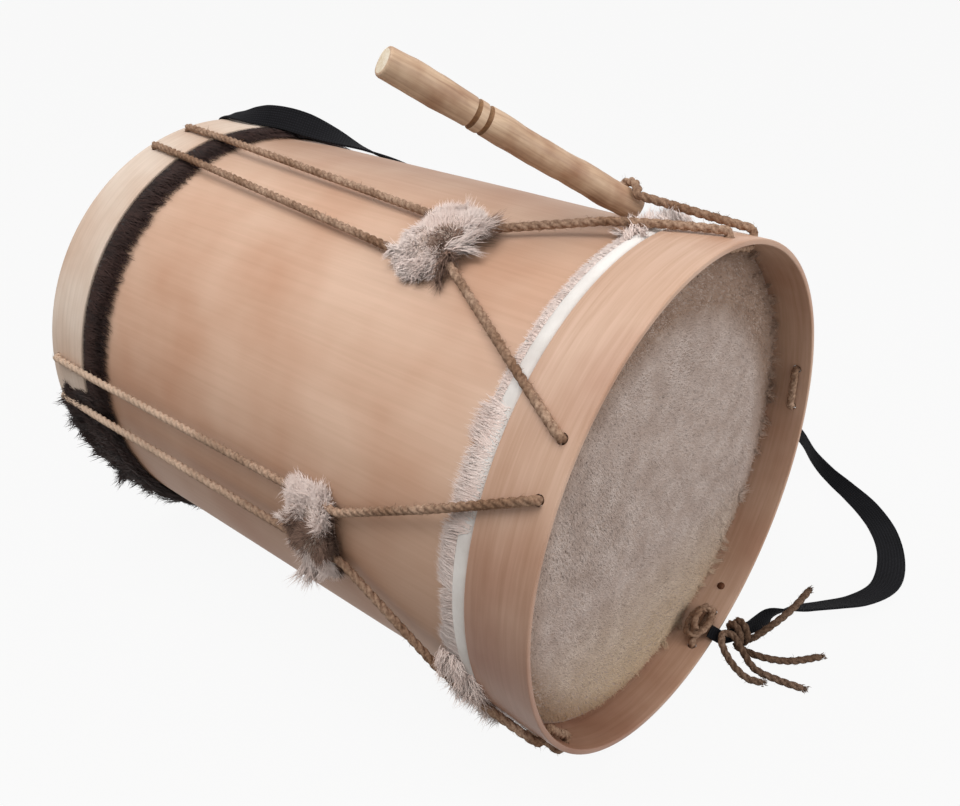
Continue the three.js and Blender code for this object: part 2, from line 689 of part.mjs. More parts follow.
// The lacing's two loose ends: a bight hooked over the gathered strap between the rim and the tie.
function ropeEnds() {
  const points = [
    [62, -272, 3],
    [58, -256, 3.4],
    [54.5, -241, 6.5],
    [58.5, -229, 13],
    [61.6, -220.6, 17.6],
    [58.8, -215.4, 17.9],
    [53, -217.4, 15.4],
    [47.6, -228, 8.5],
    [46, -241, 4],
    [50, -250, 3],
  ].map((p) => new THREE.Vector3(...p));
  const path = new THREE.CatmullRomCurve3(points, false, 'centripetal');
  return tube(path.getPoints(3 * points.length), ropeRadius);
}
addPiece('rope_ends', ropeEnds(), jute);

export default bombo;
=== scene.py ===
import math

import bpy
import numpy as np
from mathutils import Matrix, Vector


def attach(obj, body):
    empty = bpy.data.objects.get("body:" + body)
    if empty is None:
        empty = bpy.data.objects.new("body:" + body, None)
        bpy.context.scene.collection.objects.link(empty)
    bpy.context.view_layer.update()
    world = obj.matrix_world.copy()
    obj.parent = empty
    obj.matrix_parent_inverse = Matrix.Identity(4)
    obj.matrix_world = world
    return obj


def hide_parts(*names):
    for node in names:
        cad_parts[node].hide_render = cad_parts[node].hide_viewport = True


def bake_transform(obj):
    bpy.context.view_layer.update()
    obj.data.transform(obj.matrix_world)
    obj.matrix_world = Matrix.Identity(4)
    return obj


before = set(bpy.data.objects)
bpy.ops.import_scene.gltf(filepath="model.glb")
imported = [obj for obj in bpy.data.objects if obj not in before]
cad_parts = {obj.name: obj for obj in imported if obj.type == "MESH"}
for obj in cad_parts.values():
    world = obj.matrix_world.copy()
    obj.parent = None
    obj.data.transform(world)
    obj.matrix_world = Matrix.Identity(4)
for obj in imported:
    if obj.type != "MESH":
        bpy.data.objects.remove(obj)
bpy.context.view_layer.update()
mm = 0.001
rearward = np.array([0, 1, 0])  # along the drum, from the front rim to the rear
print("frame loaded")

drum = {
    "length": 420, "axisHeight": 149.679,  # rim to rim; axis above the floor
    "hoopRadius": 150, "hoopWall": 3.2, "hoopWidth": 38.5, "hoopEdge": 0.8,
    "shellRadius": 144.5, "shellWall": 6, "shellStart": 26.5,
    "headRecess": 25, "collarOuter": 146.5, "lapOuter": 149.2, "lapStart": 38.8, "lapEnd": 47.5,
    "fringeEnd": 56.5,
}


def onDrum(angle, radius, depth):  # angle from straight up towards -X, depth from the front rim, mm
    turn = math.radians(angle)
    x = -radius * math.sin(turn)
    z = drum["axisHeight"] + radius * math.cos(turn)
    return Vector((x, depth - drum["length"] / 2, z)) * mm


def allOnDrum(angles, radii, depths):  # the same for many places at once
    turns = np.radians(angles)
    x = -radii * np.sin(turns)
    z = drum["axisHeight"] + radii * np.cos(turns)
    return np.stack([x, depths - drum["length"] / 2 + 0 * x, z], 1) * mm


def drumWays(angles):  # outward from the drum's axis
    turns = np.radians(angles)
    return np.stack([-np.sin(turns), 0 * turns, np.cos(turns)], 1)


def fromRim(front, depth):  # a depth from the front or the rear rim, as depth from the front rim
    return depth if front else drum["length"] - depth


def unit(rows):
    return rows / np.linalg.norm(rows, axis=1, keepdims=True)


def selectOnly(*pieces):  # the last one is active
    bpy.ops.object.select_all(action="DESELECT")
    for piece in pieces:
        piece.select_set(True)
    bpy.context.view_layer.objects.active = pieces[-1]


def addPiece(name, data):
    piece = bpy.data.objects.new(name, data)
    bpy.context.scene.collection.objects.link(piece)
    return piece


def newPiece(name, points, edges, faces):
    mesh = bpy.data.meshes.new(name)
    mesh.from_pydata([tuple(p) for p in points], edges, faces)
    piece = addPiece(name, mesh)
    selectOnly(piece)
    return piece


def applyModifier(piece, kind, **settings):
    selectOnly(piece)
    modifier = piece.modifiers.new(kind.lower(), kind)
    for key, value in settings.items():
        setattr(modifier, key, value)
    bpy.ops.object.modifier_apply(modifier=modifier.name)


def roughen(piece, name, size, strength, middle):  # size and strength of the unevenness in mm
    clouds = bpy.data.textures.new(name, "CLOUDS")
    clouds.noise_scale = size * mm
    applyModifier(piece, "DISPLACE", texture=clouds, strength=strength * mm, mid_level=middle,
                  texture_coords="LOCAL")


def faceOutward():  # of the active piece
    bpy.ops.object.mode_set(mode="EDIT")
    bpy.ops.mesh.select_all(action="SELECT")
    bpy.ops.mesh.normals_make_consistent(inside=False)
    bpy.ops.object.mode_set(mode="OBJECT")


def spinAround(name, profile, steps, centre, axis, closed):  # a section turned all the way round
    edges = [(i, i + 1) for i in range(len(profile) - 1)]
    if closed:
        edges.append((len(profile) - 1, 0))
    piece = newPiece(name, profile, edges, [])
    bpy.ops.object.mode_set(mode="EDIT")
    bpy.ops.mesh.select_all(action="SELECT")
    bpy.ops.mesh.spin(steps=steps, angle=2 * math.pi, center=centre, axis=axis)
    bpy.ops.mesh.select_all(action="SELECT")
    bpy.ops.mesh.remove_doubles(threshold=0.00002)
    bpy.ops.mesh.normals_make_consistent(inside=False)
    bpy.ops.object.mode_set(mode="OBJECT")
    return piece


def spinDrum(name, section, steps, closed=True):  # section lists (radius, depth) in mm
    profile = [onDrum(0, radius, depth) for radius, depth in section]
    return spinAround(name, profile, steps, onDrum(0, 0, 0), (0, 1, 0), closed)


def smooth(piece, degrees=40):
    selectOnly(piece)
    bpy.ops.object.shade_smooth_by_angle(angle=math.radians(degrees))


def joinInto(piece, others):
    selectOnly(*others, piece)
    bpy.ops.object.join()
    return piece


# Strands of wool, hair or jute fibre: three-sided and tapered to a point
strand = {"wave": 0.35, "waveTurn": 4.5, "taper": 0.6, "fat": (0.6, 1.3), "roundness": 0.45, "lowest": 0.2}


def growStrands(name, roots, leans, lengths, thick, curl, segments, seed, sag=None, shade=None):
    rng = np.random.default_rng(seed)
    count = len(roots)
    leans = unit(leans)
    side = rng.normal(size=(count, 3))
    side -= (side * leans).sum(1, keepdims=True) * leans
    side = unit(side)
    other = np.cross(leans, side)
    share = np.linspace(0, 1, segments + 1)
    bow = side if sag is None else sag
    wave = strand["wave"] * curl * np.sin(strand["waveTurn"] * share)
    reach = (lengths * mm)[:, None, None]
    path = roots[:, None] + leans[:, None] * reach * share[None, :, None]
    path = path + bow[:, None] * reach * (curl * share ** 2)[None, :, None]
    path = path + other[:, None] * reach * wave[None, :, None]
    width = thick * mm * (1 - strand["taper"] * share[:-1])
    fat = rng.uniform(*strand["fat"], count)
    rings = []
    for turn in (0, 2 * math.pi / 3, 4 * math.pi / 3):
        offset = (math.cos(turn) * side + math.sin(turn) * other) * fat[:, None]
        rings.append(path[:, :-1] + offset[:, None] * width[None, :, None])
    rings = np.stack(rings, 2).reshape(count, segments * 3, 3)
    points = np.concatenate([rings, path[:, -1:]], 1)
    points[..., 2] = np.maximum(points[..., 2], strand["lowest"] * mm)  # nothing goes through the floor
    single = [[0, 2, 1]]
    for level in range(segments - 1):
        for corner in range(3):
            a, b = level * 3 + corner, level * 3 + (corner + 1) % 3
            single += [[a, b, b + 3], [a, b + 3, a + 3]]
    last = 3 * (segments - 1)
    single += [[last + c, last + (c + 1) % 3, last + 3] for c in range(3)]
    stride = segments * 3 + 1
    faces = (np.array(single)[None] + (np.arange(count) * stride)[:, None, None]).reshape(-1, 3)
    mesh = bpy.data.meshes.new(name)
    mesh.vertices.add(count * stride)
    mesh.vertices.foreach_set("co", points.astype(np.float32).ravel())
    mesh.loops.add(len(faces) * 3)
    mesh.loops.foreach_set("vertex_index", faces.astype(np.int32).ravel())
    mesh.polygons.add(len(faces))
    mesh.polygons.foreach_set("loop_start", np.arange(0, len(faces) * 3, 3, dtype=np.int32))
    mesh.update(calc_edges=True)
    tint = mesh.attributes.new("tint", "FLOAT", "POINT")
    tint.data.foreach_set("value", np.repeat(rng.uniform(0, 1, count), stride).astype(np.float32))
    if shade is not None:  # soft wool takes the light as one surface
        across = np.zeros_like(points)
        across[:, :-1] = rings - np.repeat(path[:, :-1], 3, 1)
        across /= np.maximum(np.linalg.norm(across, axis=2, keepdims=True), 1e-9)
        normals = unit((shade[:, None] + strand["roundness"] * across).reshape(-1, 3))
        mesh.normals_split_custom_set_from_vertices(normals.tolist())
    return addPiece(name, mesh)


def paint(code):  # sRGB hex to linear
    parts = [int(code[i:i + 2], 16) / 255 for i in (0, 2, 4)]
    return tuple(p / 12.92 if p <= 0.04045 else ((p + 0.055) / 1.055) ** 2.4 for p in parts) + (1,)


def addNode(tree, kind, settings, inputs, stops=()):  # inputs by name or in order; gives the outputs
    made = tree.nodes.new("ShaderNode" + kind)
    for key, value in settings.items():
        setattr(made, key, value)
    for key, value in inputs.items() if isinstance(inputs, dict) else enumerate(inputs):
        if isinstance(value, bpy.types.NodeSocket):
            tree.links.new(value, made.inputs[key])
        else:
            made.inputs[key].default_value = value
    for i, (at, code) in enumerate(stops):  # of a colour ramp
        made.color_ramp.elements[i].position, made.color_ramp.elements[i].color = at, paint(code)
    return made.outputs


# Settings that several materials share; a Mix node has its two colours at 6 and 7 and its result at 2
times, timesAdd = {"operation": "MULTIPLY"}, {"operation": "MULTIPLY_ADD"}
overlay = {"data_type": "RGBA"}
darken = {"data_type": "RGBA", "blend_type": "MULTIPLY"}


def newMaterial(name, **values):
    material = bpy.data.materials.new(name)
    material.use_nodes = True
    shader = material.node_tree.nodes["Principled BSDF"]
    for key, value in values.items():
        shader.inputs[key.replace("_", " ")].default_value = value
    return material, material.node_tree, shader


def dress(piece, material, body="drum", nodes=()):
    piece.data.materials.clear()
    piece.data.materials.append(material)
    if nodes:
        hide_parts(*nodes)
    if body:
        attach(piece, body)
    return piece


# Camera at the photograph's angle
cameraView = {"place": (-409.6, -404.5, 456.2), "look": (0.6647, 0.5697, -0.4829),
              "lens": 35.755, "sensor": 36}
bpy.ops.object.camera_add(location=[v * mm for v in cameraView["place"]])
camera = bpy.context.object
camera.rotation_euler = Vector(cameraView["look"]).to_track_quat("-Z", "Y").to_euler()
camera.data.lens = cameraView["lens"]
camera.data.sensor_width = cameraView["sensor"]
camera.data.clip_start = 0.01
bpy.context.scene.camera = camera
bpy.context.scene.view_settings.view_transform = "Standard"
print("camera placed")

# Jute: raw brown bast fibre, dry and matt, with paler and darker fibres along the lay
jute = {"fibre": 1.6, "dirt": 26, "rear": (-0.05, 0.16, 0.0, 0.65), "low": (0.24, 0.16),
        "knot": (-0.205, -0.222, 0.0, 0.75)}  # fibre and dirt in mm, the others places in metres and shares


def juteMaterial():
    material, tree, shader = newMaterial("twistedJute", Roughness=0.95, Specular_IOR_Level=0.15)
    spot = addNode(tree, "TexCoord", {}, {})["Object"]
    place = addNode(tree, "SeparateXYZ", {}, {"Vector": spot})
    fibre = addNode(tree, "TexNoise", {}, {"Vector": spot, "Scale": 1 / (jute["fibre"] * mm), "Detail": 4.0})
    patch = addNode(tree, "TexNoise", {}, {"Vector": spot, "Scale": 1 / (jute["dirt"] * mm), "Detail": 2.0})
    tone = addNode(tree, "ValToRGB", {}, {"Fac": fibre["Fac"]}, ((0.3, "8a6d5a"), (0.72, "caab93")))
    dirt = addNode(tree, "ValToRGB", {}, {"Fac": patch["Fac"]}, ((0.35, "c2b6ab"), (0.65, "ffffff")))
    both = addNode(tree, "Mix", darken, {"Factor": 1.0, 6: tone["Color"], 7: dirt["Color"]})
    rear = addNode(tree, "MapRange", {}, (place["Y"], *jute["rear"]))
    low = addNode(tree, "MapRange", {}, (place["Z"], *jute["low"]))
    rubbed = addNode(tree, "Math", times, (rear["Result"], low["Result"]))  # pale there
    worn = addNode(tree, "Mix", overlay, {"Factor": rubbed["Value"], 6: both[2], 7: paint("e3c9b2")})
    knot = addNode(tree, "MapRange", {}, (place["Y"], *jute["knot"]))  # before the drum, grey with handling
    grey = addNode(tree, "Mix", darken, {"Factor": knot["Result"], 6: worn[2], 7: paint("9c9a9a")})
    bump = addNode(tree, "Bump", {}, {"Height": fibre["Fac"], "Strength": 0.6, "Distance": 0.4 * mm})
    tree.links.new(grey[2], shader.inputs["Base Color"])
    tree.links.new(bump["Normal"], shader.inputs["Normal"])
    return material


# Polyester webbing: black yarn with a low sheen, ribbed across by the weft and lined along by the warp
webbing = {"rib": 1.9, "line": 2.2, "wear": 22, "band": 0.314}  # drawn coarse; band in metres at scale 1


def webbingMaterial():
    material, tree, shader = newMaterial("wovenWebbing", Roughness=0.9, Specular_IOR_Level=0.15)
    spot = addNode(tree, "TexCoord", {}, {})["Object"]
    weave = addNode(tree, "UVMap", {"uv_map": "weave"}, {})["UV"]  # metres along and across
    ribs, lines = [webbing["band"] / (webbing[size] * mm) for size in ("rib", "line")]
    rib = addNode(tree, "TexWave", {"bands_direction": "X"}, {"Vector": weave, "Scale": ribs})
    line = addNode(tree, "TexWave", {"bands_direction": "Y"}, {"Vector": weave, "Scale": lines})
    wear = addNode(tree, "TexNoise", {}, {"Vector": spot, "Scale": 1 / (webbing["wear"] * mm), "Detail": 3.0})
    cross = addNode(tree, "Math", times, (rib["Fac"], line["Fac"]))
    yarn = addNode(tree, "Math", timesAdd, (wear["Fac"], 0.7, cross["Value"]))  # rubbed in patches
    tone = addNode(tree, "ValToRGB", {}, {"Fac": yarn["Value"]}, ((0.25, "08080a"), (1.0, "1b1b1f")))
    bump = addNode(tree, "Bump", {}, {"Height": cross["Value"], "Strength": 0.7, "Distance": 0.5 * mm})
    tree.links.new(tone["Color"], shader.inputs["Base Color"])
    tree.links.new(bump["Normal"], shader.inputs["Normal"])
    return material


twistedJute = juteMaterial()
wovenWebbing = webbingMaterial()


def spanPoint(marks, i, share):  # centripetal curve through marks, between mark i and the next
    p1, p2 = marks[i], marks[i + 1]
    p0 = marks[i - 1] if i > 0 else p1 + (p1 - p2)
    p3 = marks[i + 2] if i + 2 < len(marks) else p2 + (p2 - p1)
    d0, d1, d2 = [max((b - a).length, 1e-6) ** 0.5 for a, b in ((p0, p1), (p1, p2), (p2, p3))]
    m1 = ((p1 - p0) / d0 - (p2 - p0) / (d0 + d1) + (p2 - p1) / d1) * d1
    m2 = ((p2 - p1) / d1 - (p3 - p1) / (d1 + d2) + (p3 - p2) / d2) * d1
    a, b = 2 * (p1 - p2) + m1 + m2, 3 * (p2 - p1) - 2 * m1 - m2
    return ((a * share + b) * share + m1) * share + p1


def curveThrough(marks, perSpan):
    steps = [(i, k / perSpan) for i in range(len(marks) - 1) for k in range(perSpan)]
    return [spanPoint(marks, i, share) for i, share in steps] + [marks[-1].copy()]


def evenly(points, step):  # the same line in equal steps
    line = np.array([tuple(p) for p in points])
    along = np.concatenate([[0], np.cumsum(np.linalg.norm(np.diff(line, axis=0), axis=1))])
    at = np.linspace(0, along[-1], max(2, int(round(along[-1] / step)) + 1))
    return np.stack([np.interp(at, along, line[:, k]) for k in range(3)], 1), at


rope = {"radius": 2.4, "outside": 2.55, "strandShare": 0.6, "pitch": 17, "step": 1.4, "aroundSection": 18,
        "bend": 2.9, "perSpan": 8}
fuzz = {"perMm": 4, "lift": 0.5, "stray": 0.55, "length": (0.9, 3.2), "thick": 0.12, "curl": 0.6}
fray = {"count": 36, "spread": 0.9, "onward": 1.6, "stray": 0.2, "length": (1.2, 2.8), "thick": 0.4,
        "curl": 0.35, "worn": (0.62, 0.9, 0.9, 0.62)}


def ropeSection():  # three strands side by side
    strandRadius = rope["strandShare"] * rope["outside"]
    middle = rope["outside"] - strandRadius
    curve = bpy.data.curves.new("ropeSection", "CURVE")
    outline = curve.splines.new("POLY")
    outline.points.add(rope["aroundSection"] - 1)
    for i, point in enumerate(outline.points):
        turn = 2 * math.pi * i / rope["aroundSection"]
        away = turn % (2 * math.pi / 3) - math.pi / 3
        reach = middle * math.cos(away) + max(strandRadius ** 2 - (middle * math.sin(away)) ** 2, 0) ** 0.5
        point.co = (reach * mm * math.cos(turn), reach * mm * math.sin(turn), 0, 1)
    outline.use_cyclic_u = True
    return addPiece("ropeSection", curve)


section = ropeSection()


def layRope(name, runs, seed, frayed=None):  # runs are (points, distance along the rope), in metres
    curve = bpy.data.curves.new(name, "CURVE")
    curve.dimensions = "3D"
    curve.bevel_mode = "OBJECT"
    curve.bevel_object = section
    curve.use_fill_caps = True
    for points, along in runs:
        spline = curve.splines.new("POLY")
        spline.points.add(len(points) - 1)
        for point, place, run in zip(spline.points, points, along):
            point.co = (*place, 1)
            point.tilt = 2 * math.pi * run / (rope["pitch"] * mm)  # the lay of the strands
        if frayed:  # a free end is worn round
            for point, share in zip([*spline.points[:2], *spline.points[-2:]], fray["worn"]):
                point.radius = share
    selectOnly(addPiece(name, curve))
    bpy.ops.object.convert(target="MESH")
    piece = bpy.context.object
    smooth(piece, 60)
    rng = np.random.default_rng(seed)
    mesh = piece.data
    spots, normals = np.zeros(len(mesh.vertices) * 3), np.zeros(len(mesh.vertices) * 3)
    mesh.vertices.foreach_get("co", spots)
    mesh.vertex_normals.foreach_get("vector", normals)
    total = sum(along[-1] - along[0] for _, along in runs) / mm
    pick = rng.integers(0, len(mesh.vertices), int(total * fuzz["perMm"]))
    roots, outward = spots.reshape(-1, 3)[pick], normals.reshape(-1, 3)[pick]
    leans = outward * fuzz["lift"] + rng.normal(size=outward.shape) * fuzz["stray"]
    lengths = rng.uniform(*fuzz["length"], len(pick))
    fibres = [growStrands("fibres", roots, leans, lengths, fuzz["thick"], fuzz["curl"], 2, seed)]
    for end, direction in frayed or ():
        spread = rng.normal(size=(fray["count"], 3))
        roots = np.array(end) + spread * fray["spread"] * mm
        leans = np.array(direction) * fray["onward"] + spread * fray["stray"]
        lengths = rng.uniform(*fray["length"], fray["count"])
        fibres.append(growStrands("fray", roots, leans, lengths, fray["thick"], fray["curl"], 3, seed + 1))
    if frayed is None:
        return joinInto(piece, fibres)
    fibres[0].name = name + "Fibres"
    return piece, joinInto(fibres[0], fibres[1:])


# Carrying strap: the webbing's middle, the way of its width, and shares of width and thickness if not full
strap = {"width": 20, "thickness": 2, "perSpan": 6, "crease": 0.5, "creaseAcross": 9, "creaseAlong": 0.4}
strapMarks = [
    (onDrum(-157.4, 142.3, 3.1), (0.9, 0, 0.4), 0.45),
    (onDrum(-157.0, 145.5, -1.4), (0.9, 0, 0.4), 0.45),
    (onDrum(-156.4, 149.5, -3.4), (0.9, 0, 0.4), 0.42),
    ((65.5, -216.5, 11.4), (0.3, 0.45, 0.8), 0.4, 1.6),
    ((73, -220, 12), (0.25, 0.5, 0.8), 0.4, 1.8),
    ((82, -223.5, 12.3), (0.2, 0.5, 0.8), 0.42, 1.6),
    ((94, -227, 12), (0.15, 0.5, 0.8), 0.6, 1.2),
    ((108, -231, 11.6), (0.2, 0.5, -0.8), 0.8),
    ((124, -241, 11), (0.36, 0.8, -0.48), 0.9),
    ((143, -254.6, 9.4), (0.44, 0.78, -0.44)),
    ((163, -267, 7.4), (0.38, 0.88, -0.36)),
    ((194, -274.4, 4.4), (0.1, 0.97, -0.24)),
    ((234, -265.4, 2), (-0.3, 0.95, 0)),
    ((264, -248, 2.4), (0.6, -0.78, 0.14)),
    ((282, -228, 4.6), (0.73, -0.54, 0.4), 0.88),
    ((293, -208, 7), (0.66, -0.34, 0.67), 0.72),
    ((303, -188, 9), (0.32, -0.2, 0.93), 0.64),
    ((319, -166, 10.6), (-0.03, 0.02, 1), 0.72),
    ((346, -141, 11.2), (-0.16, 0.14, 0.98), 0.85),
    ((371, -106, 11.3), (-0.24, 0.1, 0.96)),
    ((378, -62, 11.3), (-0.1, 0, 1)),
    ((362, -16, 11.3), (0.1, 0.1, 1)),
    ((322, 22, 10.4), (0.1, 0.35, 0.92)),
    ((272, 46, 6.5), (0.15, 0.85, 0.5)),
    ((222, 57, 1.9), (0.1, 1, 0)),
    ((184, 61, 3), (0.05, 1, 0)),
    ((164, 63, 15), (0, 1, 0)),
    ((157, 64, 44), (0, 1, 0)),
    ((154.6, 65, 84), (0, 1, 0)),
    (onDrum(-88, 154.6, 275), (0, 1, 0)),
    (onDrum(-76, 155.2, 275.5), (0, 1, 0)),
    (onDrum(-64, 156, 276), (0, 1, 0)),
    (onDrum(-53, 156.4, 276), (0, 1, 0)),
    (onDrum(-46.5, 154.6, 277), (0, 1, 0)),
    (onDrum(-40.5, 149.8, 283), (0.2, 0.96, -0.15)),
    (onDrum(-36.5, 147.2, 294), (0.45, 0.85, -0.27)),
    (onDrum(-31, 147.1, 308), (0.6, 0.73, -0.32)),
    (onDrum(-25, 148.1, 322), (0.72, 0.6, -0.2)),
    (onDrum(-19, 151.4, 337), (0.8, 0.4, 0.2)),
    (onDrum(-13.5, 155.4, 351), (0.74, 0.2, 0.6), 0.95),
    (onDrum(-10.5, 157.6, 365), (0.6, 0.1, 0.79), 0.85),
    (onDrum(-8.6, 157.7, 379), (0.6, 0, 0.8), 0.8),
    (onDrum(-7.4, 156.4, 391), (0.75, 0, 0.65), 0.72),
    (onDrum(-6.8, 154.5, 404), (0.95, 0, 0.3), 0.58),
    (onDrum(-6.6, 153, 416), (1, 0, 0.1), 0.45),
    (onDrum(-6.6, 149, 423), (1, 0, 0.1), 0.45),
    (onDrum(-6.7, 145.4, 421.8), (1, 0, 0.1), 0.42),
    (onDrum(-6.8, 142.3, 416.9), (1, 0, 0.1), 0.4),
]
strapEdge = [(-1, -0.35), (-0.96, -0.8), (-0.86, -0.62), (-0.3, -0.56), (0.3, -0.56), (0.86, -0.62),
             (0.96, -0.8), (1, -0.35)]  # thicker at the selvedges
strapOutline = strapEdge + [(-a, -b) for a, b in strapEdge]


def layStrap():
    rows = [(*mark, 1, 1)[:4] for mark in strapMarks]
    marks = [at if isinstance(at, Vector) else Vector(at) * mm for at, _, _, _ in rows]
    widths = []
    for _, lean, _, _ in rows:
        lean = Vector(lean).normalized()
        widths.append(-lean if widths and lean.dot(widths[-1]) < 0 else lean)
    per, around = strap["perSpan"], len(strapOutline)
    middles, leans = curveThrough(marks, per), curveThrough(widths, per)
    halfWidth, halfThickness = strap["width"] / 2, strap["thickness"] / 2
    points, faces, along = [], [], [0]
    for i, middle in enumerate(middles):
        low = min(i // per, len(marks) - 2)
        share = i / per - low
        wide, thick = [rows[low][k] * (1 - share) + rows[low + 1][k] * share for k in (2, 3)]
        tangent = (middles[min(i + 1, len(middles) - 1)] - middles[max(i - 1, 0)]).normalized()
        across = (leans[i] - tangent * leans[i].dot(tangent)).normalized()
        up = tangent.cross(across)
        for a, b in strapOutline:
            wave = math.sin(strap["creaseAcross"] * a + strap["creaseAlong"] * i)
            fold = (1 - wide) * strap["crease"] * wave  # creases where it is gathered
            height = (b * thick + fold) * halfThickness
            points.append(middle + across * (a * wide * halfWidth * mm) + up * (height * mm))
        if i:
            along.append(along[-1] + (middle - middles[i - 1]).length)
    for i in range(len(middles) - 1):
        for k in range(around):
            a, b = i * around + k, i * around + (k + 1) % around
            faces.append((a, b, b + around, a + around))
    last = (len(middles) - 1) * around
    faces.append(tuple(reversed(range(around))))
    faces.append(tuple(range(last, last + around)))
    piece = newPiece("strapWebbing", points, [], faces)
    faceOutward()
    weave = piece.data.uv_layers.new(name="weave")
    for loop in piece.data.loops:
        i, k = divmod(loop.vertex_index, around)
        weave.data[loop.index].uv = (along[i], strapOutline[k][0] * halfWidth * mm)
    smooth(piece, 50)
    dress(piece, wovenWebbing, "drum", ["strap"])
    print("strap laid, metres:", round(along[-1], 3))


# Rope wound round the gathered strap, and the lacing's loose ends beside it
tie = {"middle": (73, -220, 12), "axis": (17, -7, 0.9), "coil": 7.086, "pitch": 5.7,
       "turns": 2, "perTurn": 12, "firstTurn": -0.9,
       "before": [(118, -246, 34), (104, -243, 27), (91, -238, 20)],
       "after": [(66, -238, 7), (78, -254, 3.6), (97, -269, 3)]}
looseEnds = [(62, -272, 3), (58, -256, 3.4), (54.5, -241, 6.5), (58.5, -229, 13), (61.6, -220.6, 17.6),
             (58.8, -215.4, 17.9), (53, -217.4, 15.4), (47.6, -228, 8.5), (46, -241, 4), (50, -250, 3)]


def layFreeRope(name, marks, seed, node):
    line, along = evenly(curveThrough(marks, rope["perSpan"]), rope["step"] * mm)
    ends = [(line[0], line[0] - line[2]), (line[-1], line[-1] - line[-3])]
    frayed = [(end, way / np.linalg.norm(way)) for end, way in ends]
    piece, fibres = layRope(name, [(line, along)], seed, frayed)
    dress(piece, twistedJute, "drum", [node])
    dress(fibres, twistedJute)
    print(name, "laid, metres:", round(along[-1], 3))


def layStrapTie():
    axis = Vector(tie["axis"]).normalized()
    level = Vector((0, 0, 1)).cross(axis).normalized()
    upright = axis.cross(level)
    marks = [Vector(p) for p in tie["before"]]
    for i in range(tie["perTurn"] * tie["turns"] + 1):
        turn = tie["firstTurn"] - 2 * math.pi * i / tie["perTurn"]
        middle = Vector(tie["middle"]) + axis * tie["pitch"] * (tie["turns"] / 2 - i / tie["perTurn"])
        marks.append(middle - level * tie["coil"] * math.cos(turn) + upright * tie["coil"] * math.sin(turn))
    marks += [Vector(p) for p in tie["after"]]
    layFreeRope("strapTieRope", [p * mm for p in marks], 21, "strap_tie")


layStrap()
layStrapTie()
layFreeRope("looseRopeEnds", [Vector(p) * mm for p in looseEnds], 22, "rope_ends")

# Lacing: from a front stitch through a tensioner to a rear stitch and back to the next front stitch
lacing = {"count": 5, "holeInset": 9, "pairHalf": 5.5, "tensioner": (21.5, 90, 159, 236, 308),
          "frontPair": (57, 131, 203, 275, 347), "rearPair": (14, 89, 158, 230, 302),
          "outerRun": 153.2, "innerRun": 143.29, "shellRun": 147.2, "sleeveRun": 149.5, "strandHalf": 6.224,
          "sleeveDepth": (140, 150, 140, 140, 140), "sleeveHalf": 18, "clear": 63.7,
          "holdFront": -0.16, "holdBeater": -0.126, "holdRear": 0.147,  # metres
          "slipFront": 8, "slipRear": 24,  # mm past the sleeve's middle
          "stretchHeight": 0.15}
beater = {"radius": 8, "length": 161, "tail": (-8.9, 66.5), "rise": 31.5, "heading": 27.9, "crossing": 10,
          "grooves": (103.5, 110.5), "grooveWidth": 3, "grooveDepth": 0.8, "gap": 0.6, "steps": 40,
          "ropeLap": (-60, 12, 11), "grooveSteps": 9, "ringShare": 0.7, "endDepth": 0.1,
          "whittle": 2.2, "facet": 24, "level": 0.62, "rowsBelow": (6, 99, 24), "rowsAbove": (115, 159, 12),
          "tailRound": ((2, 0), (0.9, 0.4), (0.2, 1.1), (0, 2)), "tipRound": ((0.3, 0.9), (1, 0.2), (2, 0))}
rise, heading = math.radians(beater["rise"]), math.radians(beater["heading"])
beaterAxis = Vector((-math.cos(rise) * math.cos(heading), math.cos(rise) * math.sin(heading), math.sin(rise)))
tailTurn = math.radians(beater["tail"][0])
tailOut = Vector((-math.sin(tailTurn), 0, math.cos(tailTurn)))
tailLift = math.cos(math.asin(beaterAxis.dot(tailOut)))
tailRadius = drum["shellRadius"] + beater["gap"] + beater["radius"] * tailLift
beaterTail = onDrum(beater["tail"][0], tailRadius, beater["tail"][1])


def aroundDrum(start, end):  # steps of two degrees that follow the round of the drum
    steps = max(1, math.ceil(abs(end[0] - start[0]) / 2))
    return [onDrum(*[a + (b - a) * k / steps for a, b in zip(start, end)]) for k in range(steps + 1)]


def tautRun(start, end, steps=14):  # straight, bent outward only over the shell
    run = []
    for k in range(steps + 1):
        point = start.lerp(end, k / steps) / mm
        reach = math.hypot(point.x, point.z - drum["axisHeight"])
        push = max(1, lacing["shellRun"] / reach)
        height = drum["axisHeight"] + (point.z - drum["axisHeight"]) * push
        run.append(Vector((point.x * push, point.y, height)) * mm)
    return run


def ropeLeg(front, holeAngle, strandAngle, sleeveDepth, detour=None):
    entry = fromRim(front, sleeveDepth) - lacing["sleeveHalf"] - 2 * rope["radius"]
    underneath = (holeAngle - 180) * (strandAngle - 180) < 0
    share = 0 if underneath else (lacing["clear"] - lacing["holeInset"]) / (entry - lacing["holeInset"])
    fringeAngle = holeAngle + (strandAngle - holeAngle) * share
    hole = (holeAngle, lacing["outerRun"], fromRim(front, lacing["holeInset"]))
    mouth = onDrum(strandAngle, lacing["sleeveRun"], fromRim(front, entry))
    if detour:
        return [onDrum(*hole)] + detour + tautRun(detour[-1], mouth)[1:]
    overHoop = aroundDrum(hole, (fringeAngle, lacing["outerRun"], fromRim(front, lacing["clear"])))
    return overHoop + tautRun(overHoop[-1], mouth)[1:]


